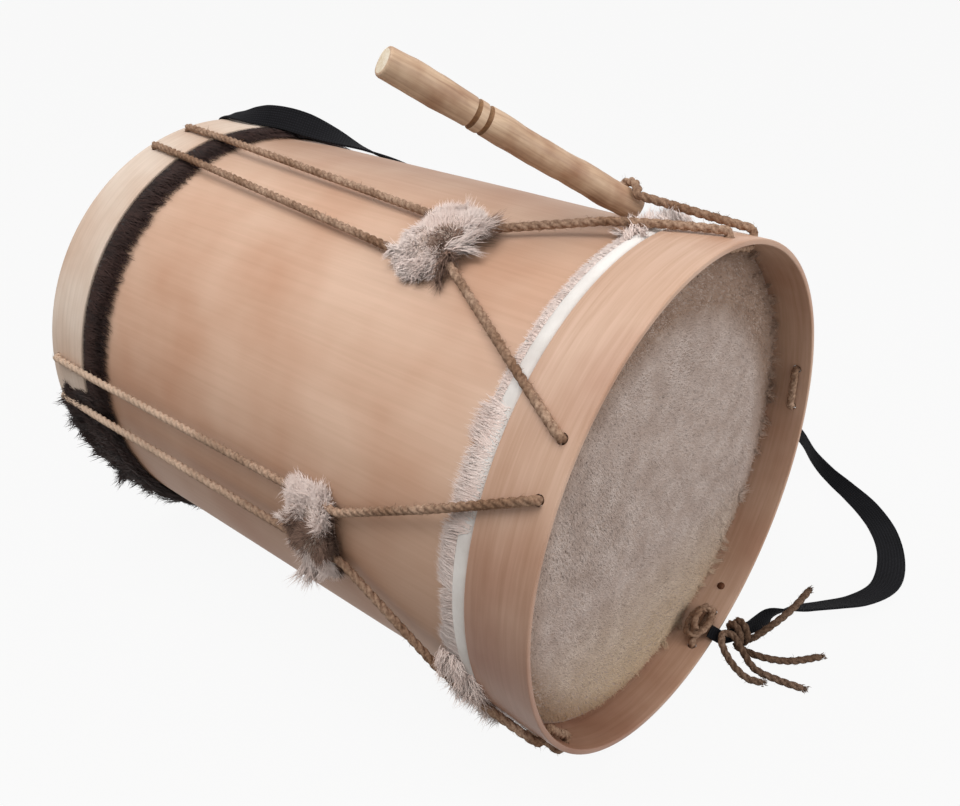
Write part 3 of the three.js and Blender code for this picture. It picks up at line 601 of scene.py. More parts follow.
def overBeater():
    middle = beaterTail + beaterAxis * beater["crossing"] * mm
    over = (tailOut - beaterAxis * tailOut.dot(beaterAxis)).normalized()
    side = beaterAxis.cross(over).normalized()
    ride = (beater["radius"] + beater["gap"] + rope["radius"]) * mm
    first, step, count = beater["ropeLap"]
    turns = [math.radians(first + step * k) for k in range(count)]
    arc = [middle + over * ride * math.cos(t) + side * ride * math.sin(t) for t in turns]
    return arc if arc[0].y < arc[-1].y else arc[::-1]


def roundCorners(corners, bend, steps=6, straight=2.75, most=0.48):
    route = [corners[0]]
    for before, corner, after in zip(corners, corners[1:], corners[2:]):
        back, on = before - corner, after - corner
        if back.length < 1e-7 or on.length < 1e-7 or back.angle(on) > straight:
            route.append(corner)
            continue
        reach = min(bend, most * back.length, most * on.length)
        start, end = corner + back.normalized() * reach, corner + on.normalized() * reach
        for k in range(steps + 1):
            route.append(start.lerp(corner, k / steps).lerp(corner.lerp(end, k / steps), k / steps))
    return route + [corners[-1]]


def layLacing(k):
    angle, rear, depth = lacing["tensioner"][k], lacing["rearPair"][k], lacing["sleeveDepth"][k]
    before, after = lacing["frontPair"][k - 1] - (0 if k else 360), lacing["frontPair"][k]
    half, inset, inner, apart = [lacing[key] for key in ("pairHalf", "holeInset", "innerRun", "strandHalf")]
    back = drum["length"] - inset
    detour = overBeater() if k == lacing["count"] - 1 else None
    corners = aroundDrum((before, inner, inset), (before + half, inner, inset))
    corners += ropeLeg(True, before + half, angle - apart, depth)
    corners += ropeLeg(False, rear - half, angle - apart, depth)[::-1]
    corners += aroundDrum((rear - half, inner, back), (rear + half, inner, back))
    corners += ropeLeg(False, rear + half, angle + apart, depth)
    corners += ropeLeg(True, after - half, angle + apart, depth, detour)[::-1]
    corners += aroundDrum((after - half, inner, inset), (after, inner, inset))
    line, along = evenly(roundCorners(corners, rope["bend"] * mm), rope["step"] * mm)
    middle = (depth - drum["length"] / 2) * mm
    inRear = np.nonzero(line[:, 1] > middle)[0]
    first, last = inRear[0], inRear[-1]
    runs = [(line[:first + 1], along[:first + 1]), (line[last:], along[last:])]
    front = layRope(f"lacing{k + 1}Front", runs, 31 + k)
    dress(front, twistedJute, None, [f"lacing_{k + 1}"])
    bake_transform(front)
    rearRope = layRope(f"lacing{k + 1}Rear", [(line[first:last + 1], along[first:last + 1])], 41 + k)
    dress(rearRope, twistedJute, None)
    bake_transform(rearRope)
    print(f"lacing {k + 1} laid, metres:", round(along[-1], 3))


for k in range(lacing["count"]):
    layLacing(k)

# Wood with long streaks and cloudy stains; grain is the streaks' size along x, y and z in mm
# Painted shade: wood darker towards its low side and along its top, where less light falls
paintedShadeBands = {"sideways": 1.2, "low": (0.05, -0.06), "ridgeX": (-0.05, 0.02), "ridgeZ": (0.23, 0.27)}  # metres


def woodMaterial(name, **look):
    material, tree, shader = newMaterial(name, Roughness=look["roughness"], Specular_IOR_Level=look["gloss"])
    spot = addNode(tree, "TexCoord", {}, {})["Object"]
    grainScale = [1 / (size * mm) for size in look["grain"]]
    turned = addNode(tree, "Mapping", {}, {"Vector": spot, "Rotation": look.get("turn", (0, 0, 0))})
    streaks = addNode(tree, "Mapping", {}, {"Vector": turned["Vector"], "Scale": grainScale})
    grain = addNode(tree, "TexNoise", {}, {
        "Vector": streaks["Vector"], "Scale": 1.0, "Detail": 5.0, "Roughness": 0.6, "Distortion": 0.4})
    cloud = addNode(tree, "TexNoise", {}, {"Vector": spot, "Scale": 1 / (look["cloud"] * mm), "Detail": 3.0})
    tone = addNode(tree, "ValToRGB", {}, {"Fac": grain["Fac"]}, ((0.28, look["dark"]), (0.66, look["light"])))
    stain = addNode(tree, "ValToRGB", {}, {"Fac": cloud["Fac"]}, ((0.3, look["stain"]), (0.6, "ffffff")))
    colour = addNode(tree, "Mix", darken, {"Factor": 1.0, 6: tone["Color"], 7: stain["Color"]})[2]
    if "low" in look:  # painted shade: darker towards the side that it lies on
        place = addNode(tree, "SeparateXYZ", {}, {"Vector": spot})
        aside = addNode(tree, "Math", timesAdd, (place["X"], paintedShadeBands["sideways"], place["Z"]))
        low = addNode(tree, "MapRange", {}, (aside["Value"], *paintedShadeBands["low"]))
        colour = addNode(tree, "Mix", darken, {"Factor": low["Result"], 6: colour, 7: paint(look["low"])})[2]
    if "ridge" in look:  # painted shade along the top, past the ridge
        past = addNode(tree, "MapRange", {}, (place["X"], *paintedShadeBands["ridgeX"]))
        high = addNode(tree, "MapRange", {}, (place["Z"], *paintedShadeBands["ridgeZ"]))
        top = addNode(tree, "Math", times, (past["Result"], high["Result"]))
        colour = addNode(tree, "Mix", darken, {"Factor": top["Value"], 6: colour, 7: paint(look["ridge"])})[2]
    rough = addNode(tree, "MapRange", {}, {
        "Value": cloud["Fac"], "To Min": look["roughness"] + 0.1, "To Max": look["roughness"] - 0.06})
    bump = addNode(tree, "Bump", {}, {
        "Height": grain["Fac"], "Strength": look["relief"], "Distance": 0.3 * mm})
    tree.links.new(colour, shader.inputs["Base Color"])
    tree.links.new(rough["Result"], shader.inputs["Roughness"])
    tree.links.new(bump["Normal"], shader.inputs["Normal"])
    return material


# Hollowed log: soft pale hardwood, sanded smooth and left nearly bare, pinkish tan with faint long streaks,
# with painted shade low down and along the top
logWood = woodMaterial(
    "sandedLogWood", roughness=0.52, gloss=0.35, grain=(3.2, 120, 3.2), cloud=95, relief=0.05,
    dark="cfac93", light="d8b59d", stain="ead9ce", low="d9cdc4", ridge="d2cdca")
# Bent ash hoops: planed thin strip, honey tan, closed satin surface, with painted shade towards the low side
hoopWood = woodMaterial(
    "bentHoopWood", roughness=0.42, gloss=0.4, grain=(60, 2.4, 60), cloud=70, relief=0.05,
    dark="bf9a80", light="cfac95", stain="e4d4cb", low="cfc1bc")
# The rear hoop is a paler strip of the same work, dry and chalky
paleHoopWood = woodMaterial(
    "paleBentWood", roughness=0.6, gloss=0.3, grain=(50, 2.4, 50), cloud=60, relief=0.06,
    dark="d2beac", light="e1cebe", stain="ecdfd6")
# Raw split ring under the hide
ringWood = woodMaterial(
    "splitRingWood", roughness=0.7, gloss=0.3, grain=(20, 1.5, 20), cloud=40, relief=0.3,
    dark="94704d", light="b8926b", stain="e5d6c6")
# Whittled beater: hard yellow-brown wood, polished by the hand, with pale sawn ends and scorched rings
stickWood = woodMaterial(
    "turnedStickWood", roughness=0.5, gloss=0.35, grain=(1.8, 1.8, 45), cloud=20, relief=0.12,
    dark="b08f76", light="d3b698", stain="d6c4ba",
    turn=beaterAxis.rotation_difference(Vector((0, 0, 1))).to_euler())
stickEnd = woodMaterial(
    "sawnEndGrain", roughness=0.8, gloss=0.2, grain=(1.2, 1.2, 1.2), cloud=8, relief=0.3,
    dark="d8c7ad", light="efe4d2", stain="eadfce")
stickRing = woodMaterial(
    "scorchedRingWood", roughness=0.6, gloss=0.3, grain=(1.2, 1.2, 1.2), cloud=12, relief=0.2,
    dark="6b4a30", light="8e6a48", stain="dcc9b6")
for name in ("front_flesh_hoop", "rear_flesh_hoop"):
    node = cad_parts[name]
    node.data.materials.clear()
    node.data.materials.append(ringWood)

shellLook = {"steps": 160, "rows": 44, "insideRows": 12, "edge": 2.5, "edgeSteps": 6,
             "unevenness": 0.5, "lump": 120, "level": 0.55}


def makeShell():
    start, end = drum["shellStart"], drum["length"] - drum["shellStart"]
    outer, inner, edge = drum["shellRadius"], drum["shellRadius"] - drum["shellWall"], shellLook["edge"]
    turns = np.linspace(0, math.pi / 2, shellLook["edgeSteps"])
    bearing = [(outer - edge + edge * math.sin(t), edge - edge * math.cos(t)) for t in turns]
    outside = [(r, start + d) for r, d in bearing]
    outside += [(outer, d) for d in np.linspace(start + edge, end - edge, shellLook["rows"])[1:-1]]
    outside += [(r, end - d) for r, d in reversed(bearing)]
    inside = [(inner, d) for d in np.linspace(end, start, shellLook["insideRows"])]
    piece = spinDrum("logShell", outside + inside, shellLook["steps"])
    roughen(piece, "hewnLumps", shellLook["lump"], shellLook["unevenness"], shellLook["level"])
    smooth(piece)
    dress(piece, logWood, "drum", ["shell"])


hoopLook = {"steps": 160, "rows": 6, "hole": 2.9, "holeSides": 24, "drill": 20, "edgeAngle": 50}


def makeHoop(name, front, pairAngles, material, node):
    outer, inner = drum["hoopRadius"], drum["hoopRadius"] - drum["hoopWall"]
    rows = [fromRim(front, d) for d in np.linspace(0, drum["hoopWidth"], hoopLook["rows"])]
    strip = [(inner, d) for d in rows] + [(outer, d) for d in reversed(rows)]
    piece = spinDrum(name, strip, hoopLook["steps"])
    applyModifier(piece, "BEVEL", width=drum["hoopEdge"] * mm, segments=3, limit_method="ANGLE",
                  angle_limit=math.radians(hoopLook["edgeAngle"]))
    bits = []
    for angle in [pair + side * lacing["pairHalf"] for pair in pairAngles for side in (-1, 1)]:
        bpy.ops.object.select_all(action="DESELECT")
        bpy.ops.mesh.primitive_cylinder_add(
            vertices=hoopLook["holeSides"], radius=hoopLook["hole"] * mm, depth=hoopLook["drill"] * mm,
            rotation=(0, -math.radians(angle), 0),
            location=onDrum(angle, outer - drum["hoopWall"] / 2, fromRim(front, lacing["holeInset"])))
        bits.append(bpy.context.object)
    drill = joinInto(bits[-1], bits[:-1])
    applyModifier(piece, "BOOLEAN", operation="DIFFERENCE", object=drill, solver="EXACT")
    bpy.data.objects.remove(drill)
    smooth(piece)
    dress(piece, material, "drum", [node])


makeShell()
makeHoop("frontHoopBand", True, lacing["frontPair"], hoopWood, "front_hoop")
makeHoop("rearHoopBand", False, lacing["rearPair"], paleHoopWood, "rear_hoop")
print("shell and hoops made")

# Hides: hair left on; each strand takes its own shade, and patches of the fleece vary
yellowing = (0.1, 0.015, 0.0, 0.75)  # heights in metres and shares
rimShadowReach = (0.112, 0.13, 0.0, 0.95)  # painted shadow of the hoop's upper edge on the head: distances from its shifted middle in metres, and shares


def hairMaterial(name, **look):
    material, tree, shader = newMaterial(
        name, Roughness=look["roughness"], Specular_IOR_Level=0.15,
        Sheen_Weight=look["sheen"], Sheen_Roughness=0.5)
    spot = addNode(tree, "TexCoord", {}, {})["Object"]
    patch = addNode(tree, "TexNoise", {}, {"Vector": spot, "Scale": 1 / (look["patch"] * mm), "Detail": 3.0})
    tint = addNode(tree, "Attribute", {"attribute_name": "tint"}, {})  # one value for each strand
    mixed = addNode(tree, "Math", timesAdd, (tint["Fac"], look["strandShare"], patch["Fac"]))
    colour = addNode(tree, "ValToRGB", {}, {"Fac": mixed["Value"]},
                     ((0.38, look["dark"]), (0.82, look["light"])))["Color"]
    if "low" in look:  # yellowed towards the lower edge
        place = addNode(tree, "SeparateXYZ", {}, {"Vector": spot})
        low = addNode(tree, "MapRange", {}, (place["Z"], *yellowing))
        colour = addNode(tree, "Mix", overlay, {"Factor": low["Result"], 6: colour, 7: paint(look["low"])})[2]
    if "rim" in look:  # painted shadow under the hoop's upper edge
        away = addNode(tree, "VectorMath", {"operation": "DISTANCE"}, (spot, look["rimMiddle"]))
        edge = addNode(tree, "MapRange", {}, (away["Value"], *rimShadowReach))
        colour = addNode(tree, "Mix", darken, {"Factor": edge["Result"], 6: colour, 7: paint(look["rim"])})[2]
    tree.links.new(colour, shader.inputs["Base Color"])
    return material


# Sheep's wool clipped close to the hide: matt, warm greyish white, yellowed low down, with a painted shadow
# under the hoop's upper edge
clippedWool = hairMaterial(
    "clippedSheepWool", roughness=0.9, sheen=0.2, patch=17, strandShare=0.16, dark="bba69b", light="dac9c0",
    low="d4b892", rim="c5b2a1", rimMiddle=(0.01, -0.185, 0.126))
# Washed sheep's wool left long: soft and bright, with pale edges
whiteWool = hairMaterial(
    "longSheepWool", roughness=0.85, sheen=0.4, patch=16, strandShare=0.35, dark="e9d0c5", light="f8e6dd")
# Brown sheep's wool, matted: dull, with dark gaps
brownWool = hairMaterial(
    "brownSheepWool", roughness=0.8, sheen=0.1, patch=9, strandShare=0.5, dark="4a362c", light="a08272")
# Goat hair: coarse, nearly black, with a slight shine
darkHair = hairMaterial(
    "darkGoatHair", roughness=0.62, sheen=0.05, patch=20, strandShare=0.35, dark="1a110f", light="3a2722")


def skinMaterial(name, dark, light, pore=1.2, blotch=30):  # dried hide: tight, slightly waxy, blotched
    material, tree, shader = newMaterial(name, Roughness=0.6, Specular_IOR_Level=0.35)
    spot = addNode(tree, "TexCoord", {}, {})["Object"]
    pores = addNode(tree, "TexNoise", {}, {"Vector": spot, "Scale": 1 / (pore * mm), "Detail": 3.0})
    blotches = addNode(tree, "TexNoise", {}, {"Vector": spot, "Scale": 1 / (blotch * mm), "Detail": 4.0})
    tone = addNode(tree, "ValToRGB", {}, {"Fac": blotches["Fac"]}, ((0.35, dark), (0.65, light)))
    bump = addNode(tree, "Bump", {}, {"Height": pores["Fac"], "Strength": 0.4, "Distance": 0.3 * mm})
    tree.links.new(tone["Color"], shader.inputs["Base Color"])
    tree.links.new(bump["Normal"], shader.inputs["Normal"])
    return material


paleRawhide = skinMaterial("paleRawhide", "d8d1cb", "f0ebe6")
brownRawhide = skinMaterial("brownRawhide", "a58e80", "d0bcae")
darkRawhide = skinMaterial("darkRawhide", "17100e", "2b1e1a")
feltedSkin = skinMaterial("feltedSkin", "9a867a", "b5a195")  # matted root wool on the skin

hide = {"steps": 160, "face": (0, 20, 45, 70, 95, 115, 130, 138), "fringeShort": 3, "off": 0.3,
        "collarDepth": 3.5, "rollRadius": 1.5, "rollStart": 0.2, "rollSteps": 9,
        "fringe": ((2.2, 1.5), (1.6, 4)), "fringeTip": 0.8,
        "shoulder": ((141.5, 0), (144.5, 0.5), (146, 1.6)), "back": ((143, 1.4), (138, 1.1), (0, 1.1))}


def makeHide(name, front, material, faceMaterial, node):
    recess, collar, lap = drum["headRecess"], drum["collarOuter"], drum["lapOuter"]
    start, end, last = drum["lapStart"], drum["lapEnd"], drum["fringeEnd"] - hide["fringeShort"]
    under, bow = drum["shellRadius"] + hide["off"], hide["rollRadius"]
    middle, half = (start + end) / 2, (end - start) / 2
    turns = np.linspace(hide["rollStart"], math.pi, hide["rollSteps"])
    roll = [(lap - bow + bow * math.sin(t), middle - half * math.cos(t)) for t in turns]
    outside = [(r, recess) for r in hide["face"]] + [(r, recess + d) for r, d in hide["shoulder"]]
    outside += [(collar, recess + hide["collarDepth"]), (collar, start)] + roll
    outside += [(under + r, end + d) for r, d in hide["fringe"]] + [(under + hide["fringeTip"], last)]
    inside = [(under, last), (under, end + 1), (under, recess + 4)]
    inside += [(r, recess + d) for r, d in hide["back"]]
    piece = spinDrum(name, [(r, fromRim(front, d)) for r, d in outside + inside], hide["steps"], False)
    smooth(piece, 60)
    dress(piece, material, "drum", [node])
    piece.data.materials.append(faceMaterial)
    for face in piece.data.polygons:
        inwards = drum["length"] / 2 - abs(face.center.y) / mm
        if inwards < recess + 2:
            face.material_index = 1


makeHide("frontHide", True, paleRawhide, feltedSkin, "front_head")
makeHide("rearHide", False, darkRawhide, darkRawhide, "rear_head")

headWool = {"edge": 0.9, "edgeWidth": 0.1, "stand": 0.5, "sweep": -0.6, "stray": 0.6, "flatter": 0.6,
            "outward": 0.4, "longer": 0.9, "curl": 0.35, "off": 0.2}  # edge is a share of the radius
clipped = {"count": 48000, "reach": 142.5, "length": (1.4, 2.8), "thick": 0.34, "lie": 0.9}
edgeHair = {"locks": 44, "span": (-170, -20), "radius": (137, 143), "length": (3, 9),
            "perLock": 22, "thick": 0.2, "off": 0.3, "outward": 0.5, "forward": 0.7, "stray": 0.3}
rearFace = {"count": 18000, "reach": 142.5, "length": (6, 10), "thick": 0.62, "lie": 0.9}
lapDepths, lapRadii = [38.8, 40, 43, 46, 47.5, 48.5, 53.5], [148.2, 149, 149.3, 149, 147.9, 147.2, 145.8]
fringeHair = {"lift": (0.02, 0.14), "gather": 3, "stray": 0.2, "uneven": 1.6, "shortest": 2.5,
              "worn": (2.2, 5.5), "curl": 0.1}
fringe = {"count": 17000, "tufts": 90, "length": (7, 15), "thick": 0.22, "edge": (56, 63),
          "bareRoll": (74, 150), "worn": (10, 40)}  # degrees from and to, middle and half
rearFur = {"count": 11500, "tufts": 260, "length": (10, 18), "thick": 0.42, "edge": (65, 70),
           "bareRoll": (400, 400), "worn": (0, -1)}  # neither bare nor worn
shag = {"locks": 150, "span": (91, 152), "length": (8, 16), "perLock": 30, "thick": 0.4,
        "lift": (0.0, 0.3), "stray": 0.2, "past": 3, "overHoop": 0.3, "onHoop": 150.6, "onFringe": 149,
        "coat": 12500, "hair": (5, 10), "coatLift": (0.03, 0.25), "coatStray": 0.16, "curl": 0.15,
        "coatRise": (13, 3), "coatRadii": (148.6, 150.3)}  # rises before the hoop's edge
overRope = {"locks": 130, "span": (105, 118), "radius": 149.4, "depth": (40, 61), "length": (7, 14),
            "lift": (0.3, 0.75), "stray": 0.22, "perLock": 26, "thick": 0.26}
fringeTufts = {"spans": ((112, 152, 70), (122, 146, 70), (-16, 6, 30)), "length": (6, 12),
               "radii": (149, 147), "lift": (0.3, 1.0), "stray": 0.3, "perLock": 30, "thick": 0.26}


def turnFrom(angles, middle):  # from -180 to 180
    return (angles - middle + 180) % 360 - 180


def growHeadWool(name, front, look, material, seed):
    rng = np.random.default_rng(seed)
    count = look["count"]
    angles = rng.uniform(0, 360, count)
    radii = look["reach"] * np.sqrt(rng.uniform(0, 1, count))
    ahead = -1 if front else 1
    roots = allOnDrum(angles, radii, np.full(count, fromRim(front, drum["headRecess"] + headWool["off"])))
    x, z = roots[:, 0] / mm, roots[:, 2] / mm
    # Slow swirls over the head
    whorl = headWool["sweep"] + 0.45 * np.sin(x / 31 + 0.7) + 0.4 * np.sin(z / 27 + x / 55)
    swirl = whorl + rng.normal(0, headWool["stray"], count)
    out = np.stack([roots[:, 0], 0 * x, roots[:, 2] - drum["axisHeight"] * mm], 1) / mm / look["reach"]
    edge = np.clip((radii / look["reach"] - headWool["edge"]) / headWool["edgeWidth"], 0, 1)[:, None]
    lie = np.stack([np.cos(swirl), 0 * x, np.sin(swirl)], 1)
    leans = lie * look["lie"] * (1 - headWool["flatter"] * edge) + out * edge * headWool["outward"]
    leans = leans + rearward * ahead * headWool["stand"]
    lengths = rng.uniform(*look["length"], count)
    lengths = lengths * (1 + headWool["longer"] * edge[:, 0] * rng.uniform(0, 1, count) ** 3)
    facing = np.repeat([rearward * ahead], count, 0)
    piece = growStrands(name, roots, leans, lengths, look["thick"], headWool["curl"], 1, seed, shade=facing)
    dress(piece, material)


def growFringe(name, front, look, material, seed):
    rng = np.random.default_rng(seed)
    count = look["count"]
    angles = rng.uniform(0, 360, count)
    tufts = np.sort(rng.uniform(0, 360, look["tufts"]))
    edges = rng.uniform(*look["edge"], look["tufts"])
    nearest = np.abs(turnFrom(angles[:, None], tufts[None])).argmin(1)
    pull = turnFrom(tufts[nearest], angles)
    bare = (angles > look["bareRoll"][0]) & (angles < look["bareRoll"][1])  # there the rolled lap shows
    worn = np.abs(turnFrom(angles, look["worn"][0])) < look["worn"][1]  # rubbed off the lap, short behind it
    start = np.where(bare | worn, drum["lapEnd"] - 0.5, drum["lapStart"] + 0.6)
    last = np.where(worn, drum["lapEnd"] + 3.5, drum["fringeEnd"] - 4)
    depths = start + (last - start) * rng.uniform(0, 1, count)
    onward = rearward * (1 if front else -1)
    roots = allOnDrum(angles, np.interp(depths, lapDepths, lapRadii), fromRim(front, depths))
    outward, tangent = drumWays(angles), drumWays(angles + 90)
    lift = rng.uniform(*fringeHair["lift"], count)
    aside = np.radians(pull) * fringeHair["gather"]  # into tufts
    leans = outward * lift[:, None] + tangent * aside[:, None] + onward
    leans = leans + rng.normal(0, fringeHair["stray"], (count, 1)) * tangent
    reach = edges[nearest] + rng.normal(0, fringeHair["uneven"], count) - depths
    lengths = np.clip(np.minimum(rng.uniform(*look["length"], count), reach), fringeHair["shortest"], None)
    lengths = np.where(worn, np.minimum(lengths, rng.uniform(*fringeHair["worn"], count)), lengths)
    shade = outward * 0.9 + onward * 0.35
    piece = growStrands(
        name, roots, leans, lengths, look["thick"], fringeHair["curl"], 2, seed, -outward, shade)
    dress(piece, material)


lock = {"foot": 0.9, "spread": 0.17, "shares": (0.6, 1.05), "curl": 0.4}


def growLocks(name, roots, ways, lengths, shade, seed, look, material, body="drum"):  # pointed wisps
    rng = np.random.default_rng(seed)
    count = look["perLock"]
    total = len(roots) * count
    ways = unit(ways)
    bows = rng.normal(size=(len(roots), 3))
    bows = unit(bows - (bows * ways).sum(1, keepdims=True) * ways)
    spots = np.repeat(roots, count, 0) + rng.normal(0, lock["foot"] * mm, (total, 3))
    leans = np.repeat(ways, count, 0) + rng.normal(0, look.get("spread", lock["spread"]), (total, 3))
    spans = np.repeat(lengths, count) * rng.uniform(*lock["shares"], total)
    bows, shade = np.repeat(bows, count, 0), np.repeat(shade, count, 0)
    piece = growStrands(name, spots, leans, spans, look["thick"], lock["curl"], 3, seed, bows, shade)
    dress(piece, material, body)


def straggle(rng, outward, lift, onward, stray):  # ways for hair, lifted off the hide by shares between two
    count = len(outward)
    return outward * rng.uniform(*lift, (count, 1)) + onward + rng.normal(0, stray, (count, 3))


def growRearShag(seed):  # long hair that falls out over the rear hoop, low on the near side
    rng = np.random.default_rng(seed)
    count = shag["locks"]
    hoopEdge, low = drum["length"] - drum["hoopWidth"], drum["length"] - drum["fringeEnd"] + 6
    angles = rng.uniform(*shag["span"], count)
    outward = drumWays(angles)
    depths = rng.uniform(low, drum["length"] - drum["hoopWidth"] * shag["overHoop"], count)
    roots = allOnDrum(angles, np.where(depths > hoopEdge, shag["onHoop"], shag["onFringe"]), depths)
    ways = straggle(rng, outward, shag["lift"], rearward * 0.8, shag["stray"])
    lengths = np.minimum(rng.uniform(*shag["length"], count), drum["length"] + shag["past"] - depths)
    growLocks("rearHairShag", roots, ways, lengths, outward, seed, shag, darkHair)
    count = shag["coat"]
    angles = rng.uniform(*shag["span"], count)
    outward = drumWays(angles)
    inside = np.minimum(angles - shag["span"][0], shag["span"][1] - angles)  # degrees from the coat's ends
    # A ragged end that draws back at both sides
    edge = drum["length"] - 7 + 3 * np.sin(angles * 0.9) + 2 * np.sin(angles * 2.3) - 30 * np.exp(-inside / 3)
    depths = low + (edge - low) * np.sqrt(rng.uniform(0, 1, count))
    rises = [hoopEdge - before for before in shag["coatRise"]]
    roots = allOnDrum(angles, np.interp(depths, rises, shag["coatRadii"]), depths)
    leans = straggle(rng, outward, shag["coatLift"], rearward * 0.9, shag["coatStray"])
    lengths = rng.uniform(*shag["hair"], count)
    piece = growStrands("rearHairCoat", roots, leans, lengths, shag["thick"], shag["curl"], 2, seed + 20,
                        -outward, outward)
    dress(piece, darkHair)


def growEdgeHair(seed):  # hairs too long for the clipping, over the hoop's inner wall
    rng = np.random.default_rng(seed)
    count = edgeHair["locks"]
    angles = rng.uniform(*edgeHair["span"], count)
    radii = rng.uniform(*edgeHair["radius"], count)
    roots = allOnDrum(angles, radii, np.full(count, drum["headRecess"] - edgeHair["off"]))
    ways = drumWays(angles) * edgeHair["outward"] - rearward * edgeHair["forward"]
    ways = ways + rng.normal(0, edgeHair["stray"], (count, 3))
    lengths, facing = rng.uniform(*edgeHair["length"], count), np.repeat([rearward * -1.0], count, 0)
    growLocks("frontEdgeHair", roots, ways, lengths, facing, seed, edgeHair, clippedWool)


def growFringeTufts(seed):  # fuller wool that hides the rope where it leaves the hoop
    rng = np.random.default_rng(seed)
    angles = np.concatenate([rng.uniform(*span) for span in fringeTufts["spans"]])
    count = len(angles)
    outward = drumWays(angles)
    depths = rng.uniform(drum["lapStart"] + 2, drum["fringeEnd"] - 2, count)
    roots = allOnDrum(angles, np.where(depths < drum["lapEnd"], *fringeTufts["radii"]), depths)
    ways = straggle(rng, outward, fringeTufts["lift"], rearward * 0.6, fringeTufts["stray"])
    lengths = rng.uniform(*fringeTufts["length"], count)
    growLocks("frontFringeTufts", roots, ways, lengths, outward, seed, fringeTufts, whiteWool)
    count = overRope["locks"]
    angles = rng.uniform(*overRope["span"], count)
    depths = rng.uniform(*overRope["depth"], count)
    angles = np.where(depths < drum["lapEnd"], angles + 4, angles)  # the roll stays bare above the rope
    roots = allOnDrum(angles, np.full(count, overRope["radius"]), depths)
    outward = drumWays(angles)
    ways = straggle(rng, outward, overRope["lift"], drumWays(angles + 90), overRope["stray"])  # downward
    ways = ways - np.where(depths < drum["lapEnd"] + 2, 0.6, 0)[:, None] * rearward  # on to the hoop's edge
    lengths, shade = rng.uniform(*overRope["length"], count), outward * 0.6 + np.array([0, -0.5, 0.7])
    growLocks("frontRopeWool", roots, ways, lengths, shade, seed + 1, overRope, whiteWool)


growHeadWool("frontClippedWool", True, clipped, clippedWool, 51)
growHeadWool("frontClippedNap", True, clipped, clippedWool, 56)
growEdgeHair(57)
growFringeTufts(58)
growFringe("frontWoolFringe", True, fringe, whiteWool, 52)
growHeadWool("rearFaceHair", False, rearFace, darkHair, 53)
growFringe("rearHairFringe", False, rearFur, darkHair, 54)
growRearShag(55)
print("hides and hair made")

# Knot that stops the lacing inside the front hoop, and an iron tack beside it
stopKnot = [(-151.5, 141.2, 12), (-154, 138.6, 15), (-158, 138, 16.5), (-161.3, 139, 13.5),
            (-160.5, 138.6, 7.5), (-156.5, 137.6, 4.5), (-152.8, 138.2, 7), (-153.5, 135.6, 12),
            (-157.5, 133.8, 12.5), (-160.4, 135, 9)]
tack = {"angle": -144, "depth": 13, "radius": 2.6, "height": 1.3, "shank": 0.6, "brim": 0.25, "dome": 0.92,
        "domeStart": 0.3, "domeSteps": 7, "steps": 20, "rust": 0.8}


def tieStopKnot():
    marks = [onDrum(*mark) for mark in stopKnot]
    run = evenly(curveThrough(marks, rope["perSpan"]), rope["step"] * mm)
    dress(layRope("lacingStopKnot", [run], 23), twistedJute)


def driveTack():  # domed forged head with a small brim, dull brown with rust
    material, tree, shader = newMaterial("rustedIron", Metallic=0.6, Roughness=0.6)
    spot = addNode(tree, "TexCoord", {}, {})["Object"]
    rust = addNode(tree, "TexNoise", {}, {"Vector": spot, "Scale": 1 / (tack["rust"] * mm), "Detail": 3.0})
    tone = addNode(tree, "ValToRGB", {}, {"Fac": rust["Fac"]}, ((0.0, "2c1a12"), (1.0, "7a4a2c")))
    tree.links.new(tone["Color"], shader.inputs["Base Color"])
    inner = drum["hoopRadius"] - drum["hoopWall"]
    seat = onDrum(tack["angle"], inner, tack["depth"])
    inward = (onDrum(tack["angle"], inner - 1, tack["depth"]) - seat).normalized()
    wide, shank, foot = tack["radius"], tack["shank"], tack["domeStart"]
    profile = [(0, -1), (shank, -1), (shank, 0), (wide, 0), (wide, tack["brim"])]
    profile += [(wide * tack["dome"] * math.cos(t), foot + (tack["height"] - foot) * math.sin(t))
                for t in np.linspace(0, math.pi / 2, tack["domeSteps"])]
    points = [seat + (inward * up + Vector((0, 1, 0)) * out) * mm for out, up in profile]
    piece = spinAround("hoopTack", points, tack["steps"], seat, inward, False)
    smooth(piece)
    dress(piece, material)


tieStopKnot()
bpy.data.objects.remove(section)
driveTack()
print("stop knot and tack made")

# Sheepskin sleeves round pairs of rope legs
sleeve = {"width": 51, "length": 28, "crown": 9.7, "around": 40, "along": 12, "taper": 0.2,
          "seat": 0.4, "rim": 1.6, "square": 6, "endDip": 0.1, "underWool": 1.8,
          "turn": (0, 1.5, 0, 0, 0), "shift": (-3.5, -1, 0, 0, 0)}
fleece = {"count": 8200, "length": (3.6, 6.6), "thick": 0.28, "curl": 0.22, "stray": 0.15, "ragged": 0.08,
          "overrun": 1.35, "footing": 0.05, "brownBelow": 0.6, "matted": 2.2}
partings = {1: (0.12, 0.42, 0)}  # wide along the second sleeve: place across, half width, narrowing
frontParting = (0.15, 0.14, 0.4)
wisps = {"locks": 15, "inner": 0.75, "stray": 0.35, "length": (6, 11), "perLock": 26, "thick": 0.22}
pointed = {"locks": 3, "stray": 0.05, "lift": 0.2, "shortest": 0.8, "perLock": 64, "thick": 0.3,
           "spread": 0.07}
